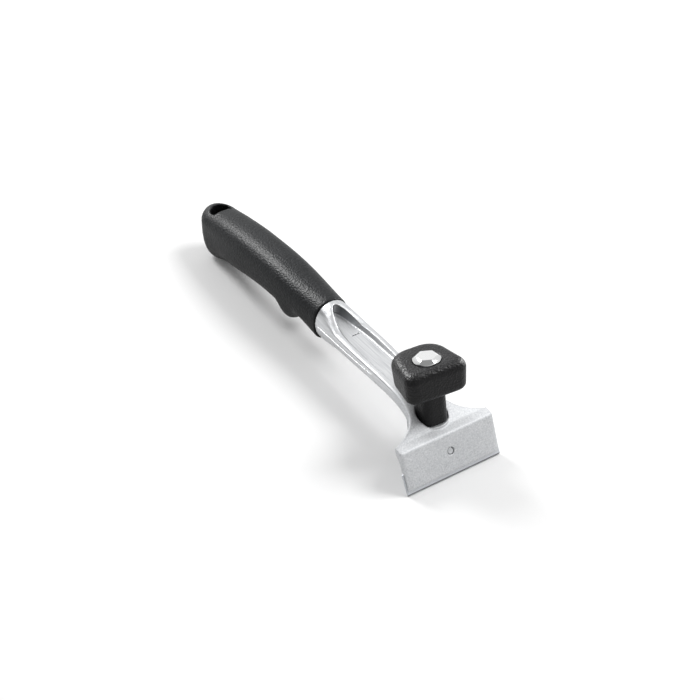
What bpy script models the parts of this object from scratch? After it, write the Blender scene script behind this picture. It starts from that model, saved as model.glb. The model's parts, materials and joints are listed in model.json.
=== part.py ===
"""Two-handed paint scraper with a reversible carbide blade.

Lengths are in metres and +Z is up. The tool rests on its cutting edge and on the heel of its grip.
Along Y it runs from the blade to the tail: a station is a distance behind the cutting edge, and a
height is measured from the table. The clamp has a frame of its own, whose Z is the screw's axis.
"""
import math

import bmesh
import bpy
from mathutils import Matrix, Vector

MM = 0.001

# Clearances
TOUCH_GAP = 0.3 * MM
SCREW_PLAY = 0.35 * MM
STEM_PLAY = 0.35 * MM
WELD_REACH = 0.001 * MM

# Blade
BLADE_WIDTH = 65.0 * MM
BLADE_HEIGHT = 13.2 * MM
BLADE_THICKNESS = 1.2 * MM
BLADE_GRIND = 0.6 * MM
BLADE_LEAN = math.radians(28.0)
BLADE_REACH = 1.8 * MM

# Front jaw and top plate of the casting
JAW_END_INSET = 0.5 * MM
FACE_FOOT_STATION = -0.9 * MM
FACE_FOOT_HEIGHT = 4.8 * MM
FACE_TOP_STATION = 7.9 * MM
FACE_TOP_HEIGHT = 25.25 * MM
FACE_FOOT_EASE = 3.4 * MM
FACE_TOP_EASE = 1.4 * MM
FACE_EASE_SLOPE = 0.33
FACE_TOP_ROUND = 1.0 * MM
PLATE_REAR_STATION = 14.0 * MM
PLATE_REAR_HEIGHT = 26.1 * MM
PLATE_EDGE_DEPTH = 3.4 * MM
JAW_ROOT_HEIGHT = 18.0 * MM
LEDGE_DROP = 0.5 * MM

# Neck of the casting
NECK_END_STATION = 127.8 * MM
NECK_WAIST_HALF = 10.8 * MM
NECK_MIDDLE_HALF = 12.1 * MM
NECK_END_HALF = 11.7 * MM
NECK_WAIST_STATION = 45.0 * MM
NECK_MIDDLE_STATION = 88.0 * MM
NECK_TOP_HEIGHT = 35.8 * MM
NECK_CROWN = 1.2 * MM
NECK_END_CREST = 43.8 * MM
NECK_HEAD_BELLY = 23.4 * MM
NECK_END_BELLY = 17.2 * MM
NECK_SIDE_DROP = 4.6 * MM
FLARE_LENGTH = 6.6 * MM
RAMP_LENGTH = 20.0 * MM
ARCH_START_STATION = 104.0 * MM
ARCH_FULL_STATION = 126.0 * MM

# Pocket in the top of the neck
POCKET_HALF_WIDTH = 8.75 * MM
POCKET_TIP_STATION = 124.3 * MM
POCKET_POINT_LENGTH = 36.0 * MM
POCKET_START_STATION = 36.0 * MM
POCKET_DEPTH = 1.5 * MM
POCKET_FLOOR_RISE = 2.5 * MM
POCKET_WALL_SLANT = 2.3 * MM
POCKET_POINT_SHAPE = 0.6
RAIL_WIDTH = 2.3 * MM

# Tang inside the grip
TANG_END_STATION = 232.0 * MM
TANG_FRONT_HEIGHT = 32.8 * MM
TANG_END_HEIGHT = 27.0 * MM
TANG_FRONT_HALF_WIDTH = 7.5 * MM
TANG_END_HALF_WIDTH = 6.5 * MM
TANG_FRONT_HALF_DEPTH = 7.0 * MM
TANG_END_HALF_DEPTH = 6.0 * MM

# Grip
GRIP_PROUD = 0.4 * MM
GRIP_RIM_ROUND = 0.6 * MM
GRIP_HUMP_HALF = 14.2 * MM
GRIP_PALM_HALF = 14.4 * MM
GRIP_TAIL_HALF = 12.7 * MM
GRIP_HUMP_CREST = 45.4 * MM
GRIP_BACK_CREST = 43.3 * MM
GRIP_LOIN_CREST = 39.9 * MM
GRIP_HEEL_CREST = 36.6 * MM
GRIP_END_CREST = 34.8 * MM
COLLAR_BELLY = 21.0 * MM
FINGER_STOP_BELLY = 9.0 * MM
STOP_REAR_BELLY = 16.6 * MM
PALM_BELLY = 16.5 * MM
LOIN_BELLY = 5.8 * MM
TAIL_BELLY = 8.9 * MM
COLLAR_STATION = 150.9 * MM
FINGER_STOP_STATION = 165.3 * MM
STOP_REAR_STATION = 174.4 * MM
HUMP_STATION = 178.0 * MM
PALM_STATION = 181.9 * MM
BACK_STATION = 216.0 * MM
LOIN_STATION = 241.1 * MM
HEEL_STATION = 260.0 * MM
TAIL_ROUND_STATION = 261.5 * MM
TAIL_END_STATION = 274.8 * MM
GRIP_HUMP_WIDEST = 31.0 * MM
GRIP_LOIN_WIDEST = 26.3 * MM
TAIL_APEX_HEIGHT = 27.3 * MM

# Hanging hole in the tail
HOLE_FRONT_STATION = 257.3 * MM
HOLE_WIDTH = 14.3 * MM
HOLE_LENGTH = 10.4 * MM

# Screw that keeps the grip on the tang
GRIP_SCREW_DIAMETER = 4.0 * MM
GRIP_SCREW_HEAD_DIAMETER = 7.2 * MM
GRIP_SCREW_HEAD_HEIGHT = 2.8 * MM
GRIP_SCREW_LENGTH = 32.0 * MM

# Clamp axis: the seat of the knob's stem on the head, a low pad with a thin rim
SEAT_STATION = 22.9 * MM
SEAT_HEIGHT = 26.0 * MM
AXIS_LEAN = math.radians(10.0)
PAD_RIM_WIDTH = 0.5 * MM
PAD_RIM_HEIGHT = 0.2 * MM

# Knob
STEM_SIDE = 15.8 * MM
STEM_CORNER = 5.2 * MM
STEM_LENGTH = 19.8 * MM
KNOB_FRONT_WIDTH = 41.0 * MM
KNOB_BACK_WIDTH = 31.6 * MM
KNOB_DEPTH = 34.2 * MM
KNOB_SETBACK = 2.8 * MM
KNOB_HEIGHT = 19.8 * MM
KNOB_FRONT_CORNER = 6.2 * MM
KNOB_BACK_CORNER = 12.0 * MM
KNOB_TOP_ROUND = 5.3 * MM
KNOB_BOTTOM_ROUND = 4.1 * MM
KNOB_TAPER = 0.6 * MM
KNOB_REST_TURN = math.radians(-6.1)

# Cap on the knob
CAP_DIAMETER = 16.4 * MM
CAP_FLATS = 10.2 * MM
CAP_RISE = 2.5 * MM
CAP_RIM = 0.4 * MM
CAP_SEAT_DEPTH = 2.0 * MM
CAP_TURN = math.radians(-3.7)

# Clamp screw, its washer, rings and nut
SCREW_DIAMETER = 8.0 * MM
SCREW_HEAD_FLATS = 13.0 * MM
SCREW_HEAD_HEIGHT = 5.3 * MM
SCREW_END_CHAMFER = 0.7 * MM
WASHER_DIAMETER = 12.8 * MM
WASHER_THICKNESS = 1.2 * MM
WEB_THICKNESS = 6.7 * MM
RING_THICKNESS = 1.0 * MM
RING_DIAMETER = 13.0 * MM
RING_GROOVE_DEPTH = 0.8 * MM
RING_MOUTH = math.radians(70.0)
NUT_SIDE = 13.0 * MM
NUT_HEIGHT = 4.8 * MM
NUT_COVER = 2.5 * MM

# Clamp jaw
JAW_TRAVEL = 3.75 * MM
JAW_HEADROOM = 0.9 * MM
JAW_NOSE_LOW = 6.5 * MM
JAW_NOSE_TOP = 12.0 * MM
JAW_NOSE_DEPTH = 4.8 * MM
JAW_NOSE_WIDTH = 49.0 * MM
JAW_BLOCK_WIDTH = 18.0 * MM
JAW_FRONT_REACH = 10.2 * MM
JAW_REAR_REACH = 10.0 * MM
RIB_THICKNESS = 3.5 * MM
RIB_DEPTH = 7.0 * MM
BOSS_WIDTH = 17.0 * MM

# Stop pin above the blade
PIN_DIAMETER = 4.0 * MM
PIN_SINK = 0.5 * MM

# Fullness of the sections: 2 is an ellipse, and more is squarer
NECK_TOP_FULLNESS = 9.0
NECK_ARCH_FULLNESS = 2.1
NECK_BELLY_FULLNESS = 1.65
NECK_COLLAR_FULLNESS = 2.2
PLATE_TOP_FULLNESS = 4.0
PLATE_BELLY_FULLNESS = 5.0
TANG_FULLNESS = 3.0
GRIP_FULLNESS = 2.6
GRIP_BELLY_FULLNESS = 2.45
GRIP_COLLAR_TOP_FULLNESS = 2.15
GRIP_COLLAR_BELLY_FULLNESS = 3.15
GRIP_WIDEST_SHARE = 0.56
TAIL_FULLNESS = 2.05
TAIL_TOP_FULLNESS = 3.15
TAIL_CROWN_FULLNESS = 2.0
TAIL_HEEL_FULLNESS = 3.7
TAIL_TIP_SHARE = 0.03

# Fineness of the round shapes
SECTION_POINTS = 40
NECK_STEPS = 36
NECK_CROWDING = 1.4
GRIP_STEPS = 60
CORNER_POINTS = 10
ROUND_STEPS = 5
TURN_STEPS = 32
SEAT_STEPS = 48
SCREW_STEPS = 16
HEXAGON_STEPS = 6
EDGE_STEPS = 3
SHARP_ANGLE = math.radians(35.0)

# Sizes that follow from those above
JAW_WIDTH = BLADE_WIDTH - 2.0 * JAW_END_INSET
SEAT_FLOOR = -TOUCH_GAP
WASHER_BOTTOM = SEAT_FLOOR + TOUCH_GAP
WASHER_TOP = WASHER_BOTTOM + WASHER_THICKNESS
WASHER_ROOF = WASHER_TOP + TOUCH_GAP
WEB_BOTTOM = SEAT_FLOOR - WEB_THICKNESS
UPPER_RING_TOP = WEB_BOTTOM - TOUCH_GAP
JAW_TOP = UPPER_RING_TOP - RING_THICKNESS - JAW_HEADROOM
NUT_TOP = JAW_TOP - NUT_COVER - TOUCH_GAP
JAW_BOTTOM = NUT_TOP - NUT_HEIGHT
LOWER_RING_TOP = JAW_BOTTOM - JAW_TRAVEL - TOUCH_GAP
SCREW_END = LOWER_RING_TOP - RING_THICKNESS - TOUCH_GAP - SCREW_END_CHAMFER
KNOB_BOTTOM = STEM_LENGTH
KNOB_TOP = STEM_LENGTH + KNOB_HEIGHT
CAP_SEAT = KNOB_TOP - CAP_SEAT_DEPTH
SCREW_HEAD_TOP = CAP_SEAT - TOUCH_GAP
SCREW_HEAD_BOTTOM = SCREW_HEAD_TOP - SCREW_HEAD_HEIGHT
PIN_PLACE = BLADE_HEIGHT + TOUCH_GAP + PIN_DIAMETER / 2.0
MIDDLE_STATION = (FACE_FOOT_STATION + TAIL_END_STATION) / 2.0


def clear_scene():
    """Remove every object and collection that the file opened with."""
    for item in list(bpy.data.objects):
        bpy.data.objects.remove(item, do_unlink=True)
    for group in list(bpy.data.collections):
        bpy.data.collections.remove(group)


def new_collection(name):
    """Collection linked to the scene."""
    group = bpy.data.collections.new(name)
    bpy.context.scene.collection.children.link(group)
    return group


def new_material(name, colour, roughness, metallic):
    """Principled material from a linear colour."""
    material = bpy.data.materials.new(name)
    material.use_nodes = True
    shader = material.node_tree.nodes["Principled BSDF"]
    shader.inputs["Base Color"].default_value = (*colour, 1.0)
    shader.inputs["Roughness"].default_value = roughness
    shader.inputs["Metallic"].default_value = metallic
    return material


def new_empty(name, parent=None, location=(0.0, 0.0, 0.0), lean=0.0):
    """Empty that carries pieces; a lean turns it about X, its top towards the tail."""
    empty = bpy.data.objects.new(name, None)
    PARTS.objects.link(empty)
    empty.parent = parent
    empty.location = location
    empty.rotation_euler = (-lean, 0.0, 0.0)
    return empty


def put(name, mesh, parent, group, location=(0.0, 0.0, 0.0), turn=(0.0, 0.0, 0.0)):
    """Object for a mesh, in a collection, under its parent."""
    item = bpy.data.objects.new(name, mesh)
    group.objects.link(item)
    item.parent = parent
    item.location = location
    item.rotation_euler = turn
    return item


def add_part(name, mesh, material, parent, location=(0.0, 0.0, 0.0), turn=(0.0, 0.0, 0.0)):
    """Named piece with its material, shaded smooth but for its sharp edges."""
    mesh.materials.clear()
    mesh.materials.append(material)
    mesh.shade_smooth()
    mesh.set_sharp_from_angle(angle=SHARP_ANGLE)
    return put(name, mesh, parent, PARTS, location, turn)


def add_tool(name, mesh, parent, location=(0.0, 0.0, 0.0), turn=(0.0, 0.0, 0.0)):
    """Shape that only cuts or joins: kept out of sight in a collection of its own."""
    item = put(name, mesh, parent, TOOLS, location, turn)
    item.hide_render = True
    item.display_type = "WIRE"
    return item


def combine(target, tool, operation):
    """Boolean modifier on a piece."""
    step = target.modifiers.new(tool.name, "BOOLEAN")
    step.object = tool
    step.operation = operation
    step.solver = "EXACT"


def mesh_of(name, shape):
    """Mesh of a bmesh, with its faces pointing out."""
    bmesh.ops.recalc_face_normals(shape, faces=shape.faces)
    mesh = bpy.data.meshes.new(name)
    shape.to_mesh(mesh)
    shape.free()
    return mesh


def settled(name, data, modify=None, matrix=None):
    """Mesh of a curve, or of a mesh with a modifier, welded and set in place."""
    holder = bpy.data.objects.new(name, data)
    TOOLS.objects.link(holder)
    if modify is not None:
        modify(holder)
    graph = bpy.context.evaluated_depsgraph_get()
    mesh = bpy.data.meshes.new_from_object(holder.evaluated_get(graph))
    bpy.data.objects.remove(holder, do_unlink=True)
    shape = bmesh.new()
    shape.from_mesh(mesh)
    bmesh.ops.remove_doubles(shape, verts=shape.verts, dist=WELD_REACH)
    if matrix is not None:
        bmesh.ops.transform(shape, matrix=matrix, verts=shape.verts)
    return mesh_of(name, shape)


def loft(name, rings, closed=False):
    """Mesh through rings of equal point count, capped at both ends or closed on itself."""
    shape = bmesh.new()
    loops = [[shape.verts.new(point) for point in ring] for ring in rings]
    count = len(loops[0])
    pairs = list(zip(loops, loops[1:]))
    if closed:
        pairs.append((loops[-1], loops[0]))
    else:
        shape.faces.new(loops[0])
        shape.faces.new(loops[-1])
    for near, far in pairs:
        for i in range(count):
            j = (i + 1) % count
            shape.faces.new((near[i], near[j], far[j], far[i]))
    return mesh_of(name, shape)


def prism(name, outlines, thickness, matrix=None):
    """Mesh of flat outlines, the later ones holes, extruded evenly to both sides of their plane."""
    curve = bpy.data.curves.new(name, "CURVE")
    curve.dimensions = "2D"
    curve.fill_mode = "BOTH"
    curve.extrude = thickness / 2.0
    for outline in outlines:
        spline = curve.splines.new("POLY")
        spline.points.add(len(outline) - 1)
        for point, (across, along) in zip(spline.points, outline):
            point.co = (across, along, 0.0, 1.0)
        spline.use_cyclic_u = True
    return settled(name, curve, matrix=matrix)


# Turns an outline drawn as (station, height) into a side profile that is extruded along X.
SIDE_ON = Matrix(((0, 0, 1, 0), (1, 0, 0, 0), (0, 1, 0, 0), (0, 0, 0, 1)))


def arc(radius, start, end, points):
    """Outline points along part of a circle about the origin."""
    step = (end - start) / (points - 1)
    angles = [start + i * step for i in range(points)]
    return [(radius * math.cos(angle), radius * math.sin(angle)) for angle in angles]


def circle(radius):
    """Outline of a circle about the origin."""
    return arc(radius, 0.0, 2.0 * math.pi, TURN_STEPS + 1)[:-1]


def turned(name, profile, steps):
    """Solid of a (radius, height) profile that is turned about Z."""
    line = [(0.0, profile[0][1]), *profile, (0.0, profile[-1][1])]
    mesh = bpy.data.meshes.new(name)
    edges = [(i, i + 1) for i in range(len(line) - 1)]
    mesh.from_pydata([(radius, 0.0, height) for radius, height in line], edges, [])

    def turn(holder):
        screw = holder.modifiers.new("turn", "SCREW")
        screw.steps = screw.render_steps = steps
        screw.use_merge_vertices = True
        screw.merge_threshold = WELD_REACH

    return settled(name, mesh, turn)


def cone(name, low_radius, high_radius, low, high, steps):
    """Cone or cylinder about Z, with flat ends."""
    shape = bmesh.new()
    middle = Matrix.Translation((0.0, 0.0, (low + high) / 2.0))
    bmesh.ops.create_cone(shape, cap_ends=True, segments=steps, radius1=low_radius, radius2=high_radius,
                          depth=high - low, matrix=middle)
    return mesh_of(name, shape)


def cylinder(name, radius, low, high, steps):
    """Cylinder about Z between two heights."""
    return cone(name, radius, radius, low, high, steps)


def ease(value):
    """Smooth step from 0 to 1."""
    value = min(max(value, 0.0), 1.0)
    return value * value * (3.0 - 2.0 * value)


def smooth_line(knots):
    """Smooth line through (station, value) knots that never overshoots them."""
    slopes = [(b[1] - a[1]) / (b[0] - a[0]) for a, b in zip(knots, knots[1:])]
    tangents = [slopes[0]]
    for before, after in zip(slopes, slopes[1:]):
        tangents.append(2.0 * before * after / (before + after) if before * after > 0.0 else 0.0)
    tangents.append(slopes[-1])

    def value(station):
        place = 0
        while place < len(knots) - 2 and station > knots[place + 1][0]:
            place += 1
        (x0, y0), (x1, y1) = knots[place], knots[place + 1]
        width = x1 - x0
        t = (station - x0) / width
        hermite = (2 * t**3 - 3 * t**2 + 1, t**3 - 2 * t**2 + t, 3 * t**2 - 2 * t**3, t**3 - t**2)
        return (hermite[0] * y0 + hermite[1] * width * tangents[place]
                + hermite[2] * y1 + hermite[3] * width * tangents[place + 1])

    return value


def section_ring(station, half_width, crest, middle, belly, upper_power, lower_power):
    """Closed section across the tool: superellipse halves that meet at its widest height."""
    ring = []
    for i in range(SECTION_POINTS):
        angle = 2.0 * math.pi * (i + 0.5) / SECTION_POINTS
        across, up = math.cos(angle), math.sin(angle)
        power = upper_power if up > 0.0 else lower_power
        reach = crest - middle if up > 0.0 else middle - belly
        x = half_width * math.copysign(abs(across) ** (2.0 / power), across)
        z = middle + reach * math.copysign(abs(up) ** (2.0 / power), up)
        ring.append((x, station, z))
    return ring


def rounded_outline(corners, points=CORNER_POINTS):
    """Polygon of (x, y, radius) corners with each corner drawn as an arc of equal point count."""
    outline = []
    for i, (x, y, radius) in enumerate(corners):
        here = Vector((x, y))
        before = (Vector(corners[i - 1][:2]) - here).normalized()
        after = (Vector(corners[(i + 1) % len(corners)][:2]) - here).normalized()
        half = before.angle(after) / 2.0
        centre = here + (before + after).normalized() * (radius / math.sin(half))
        start = here + before * (radius / math.tan(half)) - centre
        end = here + after * (radius / math.tan(half)) - centre
        first = math.atan2(start.y, start.x)
        sweep = (math.atan2(end.y, end.x) - first + math.pi) % (2.0 * math.pi) - math.pi
        for k in range(points):
            angle = first + sweep * k / (points - 1)
            outline.append((centre.x + radius * math.cos(angle), centre.y + radius * math.sin(angle)))
    return outline


def even_circle(radius, points):
    """Circle whose points pair with those of a four-cornered rounded outline."""
    start = -math.pi / 2.0
    step = 2.0 * math.pi / points
    return [(radius * math.cos(start + (i + 0.5) * step), radius * math.sin(start + (i + 0.5) * step))
            for i in range(points)]


def even_hexagon(flats, points):
    """Hexagon across its flats, with the point count and order of even_circle."""
    outline = []
    for x, y in even_circle(1.0, points):
        turn = (math.atan2(y, x) + math.pi / 6.0) % (math.pi / 3.0) - math.pi / 6.0
        reach = flats / 2.0 / math.cos(turn)
        outline.append((x * reach, y * reach))
    return outline


def at_height(outline, height):
    """Ring of an outline at a height on the clamp's axis."""
    return [(x, y, height) for x, y in outline]


def along_blade(distance, forward=0.0):
    """(station, height) up the blade's rear plane from the edge, and forward of that plane."""
    return (distance * math.sin(BLADE_LEAN) - forward * math.cos(BLADE_LEAN),
            distance * math.cos(BLADE_LEAN) + forward * math.sin(BLADE_LEAN))


def on_axis(station, height):
    """(back, up) of a side-view point in the clamp's frame."""
    back, up = station - SEAT_STATION, height - SEAT_HEIGHT
    return (back * math.cos(AXIS_LEAN) - up * math.sin(AXIS_LEAN),
            back * math.sin(AXIS_LEAN) + up * math.cos(AXIS_LEAN))


def plate_line(station):
    """Height of the casting's upper face: the ramp from the head's plate to the neck."""
    ramp = math.exp(-(station - PLATE_REAR_STATION) / RAMP_LENGTH)
    return NECK_TOP_HEIGHT - (NECK_TOP_HEIGHT - PLATE_REAR_HEIGHT) * ramp


def neck_half_width(station):
    """Half width of the neck and of its flare into the head."""
    neck = smooth_line([
        (NECK_WAIST_STATION, NECK_WAIST_HALF),
        (NECK_MIDDLE_STATION, NECK_MIDDLE_HALF),
        (NECK_END_STATION, NECK_END_HALF),
    ])(max(station, NECK_WAIST_STATION))
    flare = math.exp(-max(station - PLATE_REAR_STATION, 0.0) / FLARE_LENGTH)
    return neck + (JAW_WIDTH / 2.0 - TOUCH_GAP - neck) * flare


def arch_share(station):
    """How far the neck's flat top has risen to the round arch at the grip."""
    return ease((station - ARCH_START_STATION) / (ARCH_FULL_STATION - ARCH_START_STATION))


def neck_crest(station):
    """Height of the neck's middle line before the pocket is cut."""
    settled = 1.0 - math.exp(-max(station - PLATE_REAR_STATION, 0.0) / RAMP_LENGTH)
    low = plate_line(station) + NECK_CROWN * settled
    return low + (NECK_END_CREST - low) * arch_share(station)


def neck_belly(station):
    """Height of the neck's underside."""
    drop = ease((station - NECK_WAIST_STATION) / (NECK_END_STATION - NECK_WAIST_STATION))
    return NECK_HEAD_BELLY + (NECK_END_BELLY - NECK_HEAD_BELLY) * drop


def neck_powers(station):
    """Fullness of the upper and lower halves of the neck's section."""
    boxy = math.exp(-max(station - PLATE_REAR_STATION, 0.0) / (2.0 * FLARE_LENGTH))
    arch = arch_share(station)
    upper = 1.0 / ((1.0 - arch) / NECK_TOP_FULLNESS + arch / NECK_ARCH_FULLNESS)
    lower = NECK_BELLY_FULLNESS + (NECK_COLLAR_FULLNESS - NECK_BELLY_FULLNESS) * arch
    return upper + PLATE_TOP_FULLNESS * boxy, lower + PLATE_BELLY_FULLNESS * boxy


def neck_ring(station):
    """Section of the casting: a flat slab at the head that turns into a round-topped arm."""
    middle = plate_line(station) - NECK_SIDE_DROP
    return section_ring(station, neck_half_width(station), neck_crest(station), middle,
                        neck_belly(station), *neck_powers(station))


def neck_surface(station, across):
    """Height of the neck's upper surface at a distance from the middle."""
    middle = plate_line(station) - NECK_SIDE_DROP
    power = neck_powers(station)[0]
    share = min(across / neck_half_width(station), 1.0)
    return middle + (neck_crest(station) - middle) * (1.0 - share**power) ** (1.0 / power)


def tang_ring(station, spare=0.0):
    """Section of the tang, or of the space for it in the grip."""
    t = (station - NECK_END_STATION) / (TANG_END_STATION - NECK_END_STATION)
    middle = TANG_FRONT_HEIGHT + (TANG_END_HEIGHT - TANG_FRONT_HEIGHT) * t
    half_width = TANG_FRONT_HALF_WIDTH + (TANG_END_HALF_WIDTH - TANG_FRONT_HALF_WIDTH) * t + spare
    half_depth = TANG_FRONT_HALF_DEPTH + (TANG_END_HALF_DEPTH - TANG_FRONT_HALF_DEPTH) * t + spare
    return section_ring(station, half_width, middle + half_depth, middle, middle - half_depth,
                        TANG_FULLNESS, TANG_FULLNESS)


def neck_stations():
    """Stations of the neck's sections, closer together where the head flares."""
    start = PLATE_REAR_STATION
    reach = NECK_END_STATION - start
    return [start + reach * (i / NECK_STEPS) ** NECK_CROWDING for i in range(NECK_STEPS + 1)]


def arm_mesh():
    """Top plate, neck and tang as one loft; its front end lies inside the front jaw."""
    buried = (FACE_TOP_STATION + PLATE_REAR_STATION) / 2.0
    rings = [neck_ring(station) for station in [buried, *neck_stations()]]
    rings += [tang_ring(NECK_END_STATION), tang_ring(TANG_END_STATION)]
    return loft("arm", rings)


def on_lip(vert, points):
    """Whether a vertex lies on one of the points."""
    return any(math.dist(vert.co, point) < WELD_REACH for point in points)


def front_jaw_mesh():
    """Front jaw: a wedge across the head with a rebate for the blade, its ends and its top edge eased."""
    seat = BLADE_THICKNESS + TOUCH_GAP
    ledge = BLADE_HEIGHT + LEDGE_DROP
    root = JAW_ROOT_HEIGHT / math.cos(BLADE_LEAN)
    outline = [
        along_blade(BLADE_REACH, seat),
        (FACE_FOOT_STATION, FACE_FOOT_HEIGHT),
        (FACE_TOP_STATION, FACE_TOP_HEIGHT),
        (PLATE_REAR_STATION, PLATE_REAR_HEIGHT),
        (PLATE_REAR_STATION, PLATE_REAR_HEIGHT - PLATE_EDGE_DEPTH),
        along_blade(root),
        along_blade(ledge),
        along_blade(ledge, seat),
    ]
    foot, top = 1, 2
    rings = []
    for side, at_end in ((-1.0, True), (-1.0, False), (1.0, False), (1.0, True)):
        ring = []
        for corner, (station, height) in enumerate(outline):
            ease_width = FACE_FOOT_EASE if corner == foot else FACE_TOP_EASE
            across = JAW_WIDTH / 2.0 if at_end else JAW_WIDTH / 2.0 - ease_width
            back = FACE_EASE_SLOPE * ease_width if at_end and corner in (foot, top) else 0.0
            ring.append((side * across, station + back, height))
        rings.append(ring)
    shape = bmesh.new()
    shape.from_mesh(loft("front_jaw", rings))

    lip = [ring[top] for ring in rings]
    edges = [edge for edge in shape.edges if all(on_lip(vert, lip) for vert in edge.verts)]
    bmesh.ops.bevel(shape, geom=edges, offset=FACE_TOP_ROUND, offset_type="OFFSET", segments=EDGE_STEPS,
                    profile=0.5, affect="EDGES")
    return mesh_of("front_jaw", shape)


def boss_mesh():
    """Web and rear rib under the head, drawn side-on in the clamp's frame."""
    rear = JAW_REAR_REACH + TOUCH_GAP
    plate_front = on_axis(FACE_TOP_STATION, FACE_TOP_HEIGHT)[1]
    outline = [
        (-JAW_FRONT_REACH - TOUCH_GAP, WEB_BOTTOM),
        (-JAW_FRONT_REACH - TOUCH_GAP, (WEB_BOTTOM + plate_front) / 2.0),
        (0.0, SEAT_FLOOR - TOUCH_GAP),
        (rear + RIB_THICKNESS, SEAT_FLOOR + WEB_THICKNESS / 2.0),
        (rear + RIB_THICKNESS, WEB_BOTTOM - RIB_DEPTH),
        (rear, WEB_BOTTOM - RIB_DEPTH),
        (rear, WEB_BOTTOM),
    ]
    return prism("boss", [outline], BOSS_WIDTH, SIDE_ON)


def pocket_half_width(station):
    """Half width of the pocket: a pointed arch at the grip, then level with the rails."""
    point_start = POCKET_TIP_STATION - POCKET_POINT_LENGTH
    share = max(station - point_start, 0.0) / POCKET_POINT_LENGTH
    arch = POCKET_HALF_WIDTH * max(1.0 - share**2, 0.0) ** POCKET_POINT_SHAPE
    return max(min(arch, neck_half_width(station) - RAIL_WIDTH), TOUCH_GAP)


def pocket_floor(station):
    """Height of the pocket's floor, which runs out into the ramp behind the knob."""
    point_start = POCKET_TIP_STATION - POCKET_POINT_LENGTH
    sink = ease((station - POCKET_START_STATION) / (point_start - POCKET_START_STATION))
    climb = max(station - ARCH_START_STATION, 0.0) / (POCKET_TIP_STATION - ARCH_START_STATION)
    edge = NECK_CROWN * (1.0 - sink)
    return plate_line(station) + edge - POCKET_DEPTH * sink + POCKET_FLOOR_RISE * climb**2


def pocket_mesh():
    """Space that is cut out of the neck's top: a flat floor between slanting walls."""
    sky = NECK_END_CREST + NECK_CROWN
    rings = []
    for i in range(NECK_STEPS + 1):
        reach = math.sin(math.pi / 2.0 * i / NECK_STEPS)
        station = POCKET_START_STATION + (POCKET_TIP_STATION - POCKET_START_STATION) * reach
        rim, floor = pocket_half_width(station), pocket_floor(station)
        foot = rim * (1.0 - POCKET_WALL_SLANT / POCKET_HALF_WIDTH)
        lip = max(neck_surface(station, rim), floor) + TOUCH_GAP
        half = [(foot, floor), (rim, lip), (rim, sky)]
        rings.append([(x, station, z) for x, z in half] + [(-x, station, z) for x, z in reversed(half)])
    return loft("pocket", rings)


def pin_axis():
    """Side-view place and turn of the stop pin: square to the blade, above its top edge."""
    station, height = along_blade(PIN_PLACE)
    return (0.0, station, height), (math.pi / 2.0 - BLADE_LEAN, 0.0, 0.0)


def pin_length():
    """Distance along the pin's axis from the blade's rear plane to the jaw's front face."""
    station, height = along_blade(PIN_PLACE)
    run, rise = FACE_TOP_STATION - FACE_FOOT_STATION, FACE_TOP_HEIGHT - FACE_FOOT_HEIGHT
    ahead = (station - FACE_FOOT_STATION) * rise - (height - FACE_FOOT_HEIGHT) * run
    closing = math.cos(BLADE_LEAN) * rise + math.sin(BLADE_LEAN) * run
    return ahead / closing


def build_casting(material):
    """Aluminium casting: arm, front jaw and boss in one, with its pocket, seat and holes."""
    casting = add_part("body_casting", arm_mesh(), material, FRAME)
    combine(casting, add_tool("front_jaw_shape", front_jaw_mesh(), FRAME), "UNION")
    combine(casting, add_tool("boss_shape", boss_mesh(), CLAMP), "UNION")
    combine(casting, add_tool("pocket_space", pocket_mesh(), FRAME), "DIFFERENCE")

    seat_radius = stem_reach() + STEM_PLAY
    pad = cylinder("pad", seat_radius + PAD_RIM_WIDTH, SEAT_FLOOR - PLATE_EDGE_DEPTH / 2.0,
                   SEAT_FLOOR + PAD_RIM_HEIGHT, SEAT_STEPS)
    combine(casting, add_tool("pad_shape", pad, CLAMP), "UNION")
    seat = cylinder("seat_space", seat_radius, SEAT_FLOOR, KNOB_BOTTOM, SEAT_STEPS)
    combine(casting, add_tool("seat_space", seat, CLAMP), "DIFFERENCE")

    bore = cylinder("screw_space", SCREW_DIAMETER / 2.0 + SCREW_PLAY, JAW_BOTTOM, KNOB_BOTTOM, TURN_STEPS)
    combine(casting, add_tool("screw_space", bore, CLAMP), "DIFFERENCE")

    place, turn = pin_axis()
    hole = cylinder("pin_space", PIN_DIAMETER / 2.0 + TOUCH_GAP, -PIN_DIAMETER, pin_length() + PIN_DIAMETER,
                    TURN_STEPS)
    combine(casting, add_tool("pin_space", hole, FRAME, place, turn), "DIFFERENCE")

    pilot_end = -GRIP_SCREW_LENGTH - TOUCH_GAP
    pilot = cylinder("pilot_space", GRIP_SCREW_DIAMETER / 2.0 + TOUCH_GAP, pilot_end, 0.0, SCREW_STEPS)
    pilot_tool = add_tool("pilot_space", pilot, FRAME, grip_screw_place(), GRIP_SCREW_TURN)
    combine(casting, pilot_tool, "DIFFERENCE")
    return casting


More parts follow.
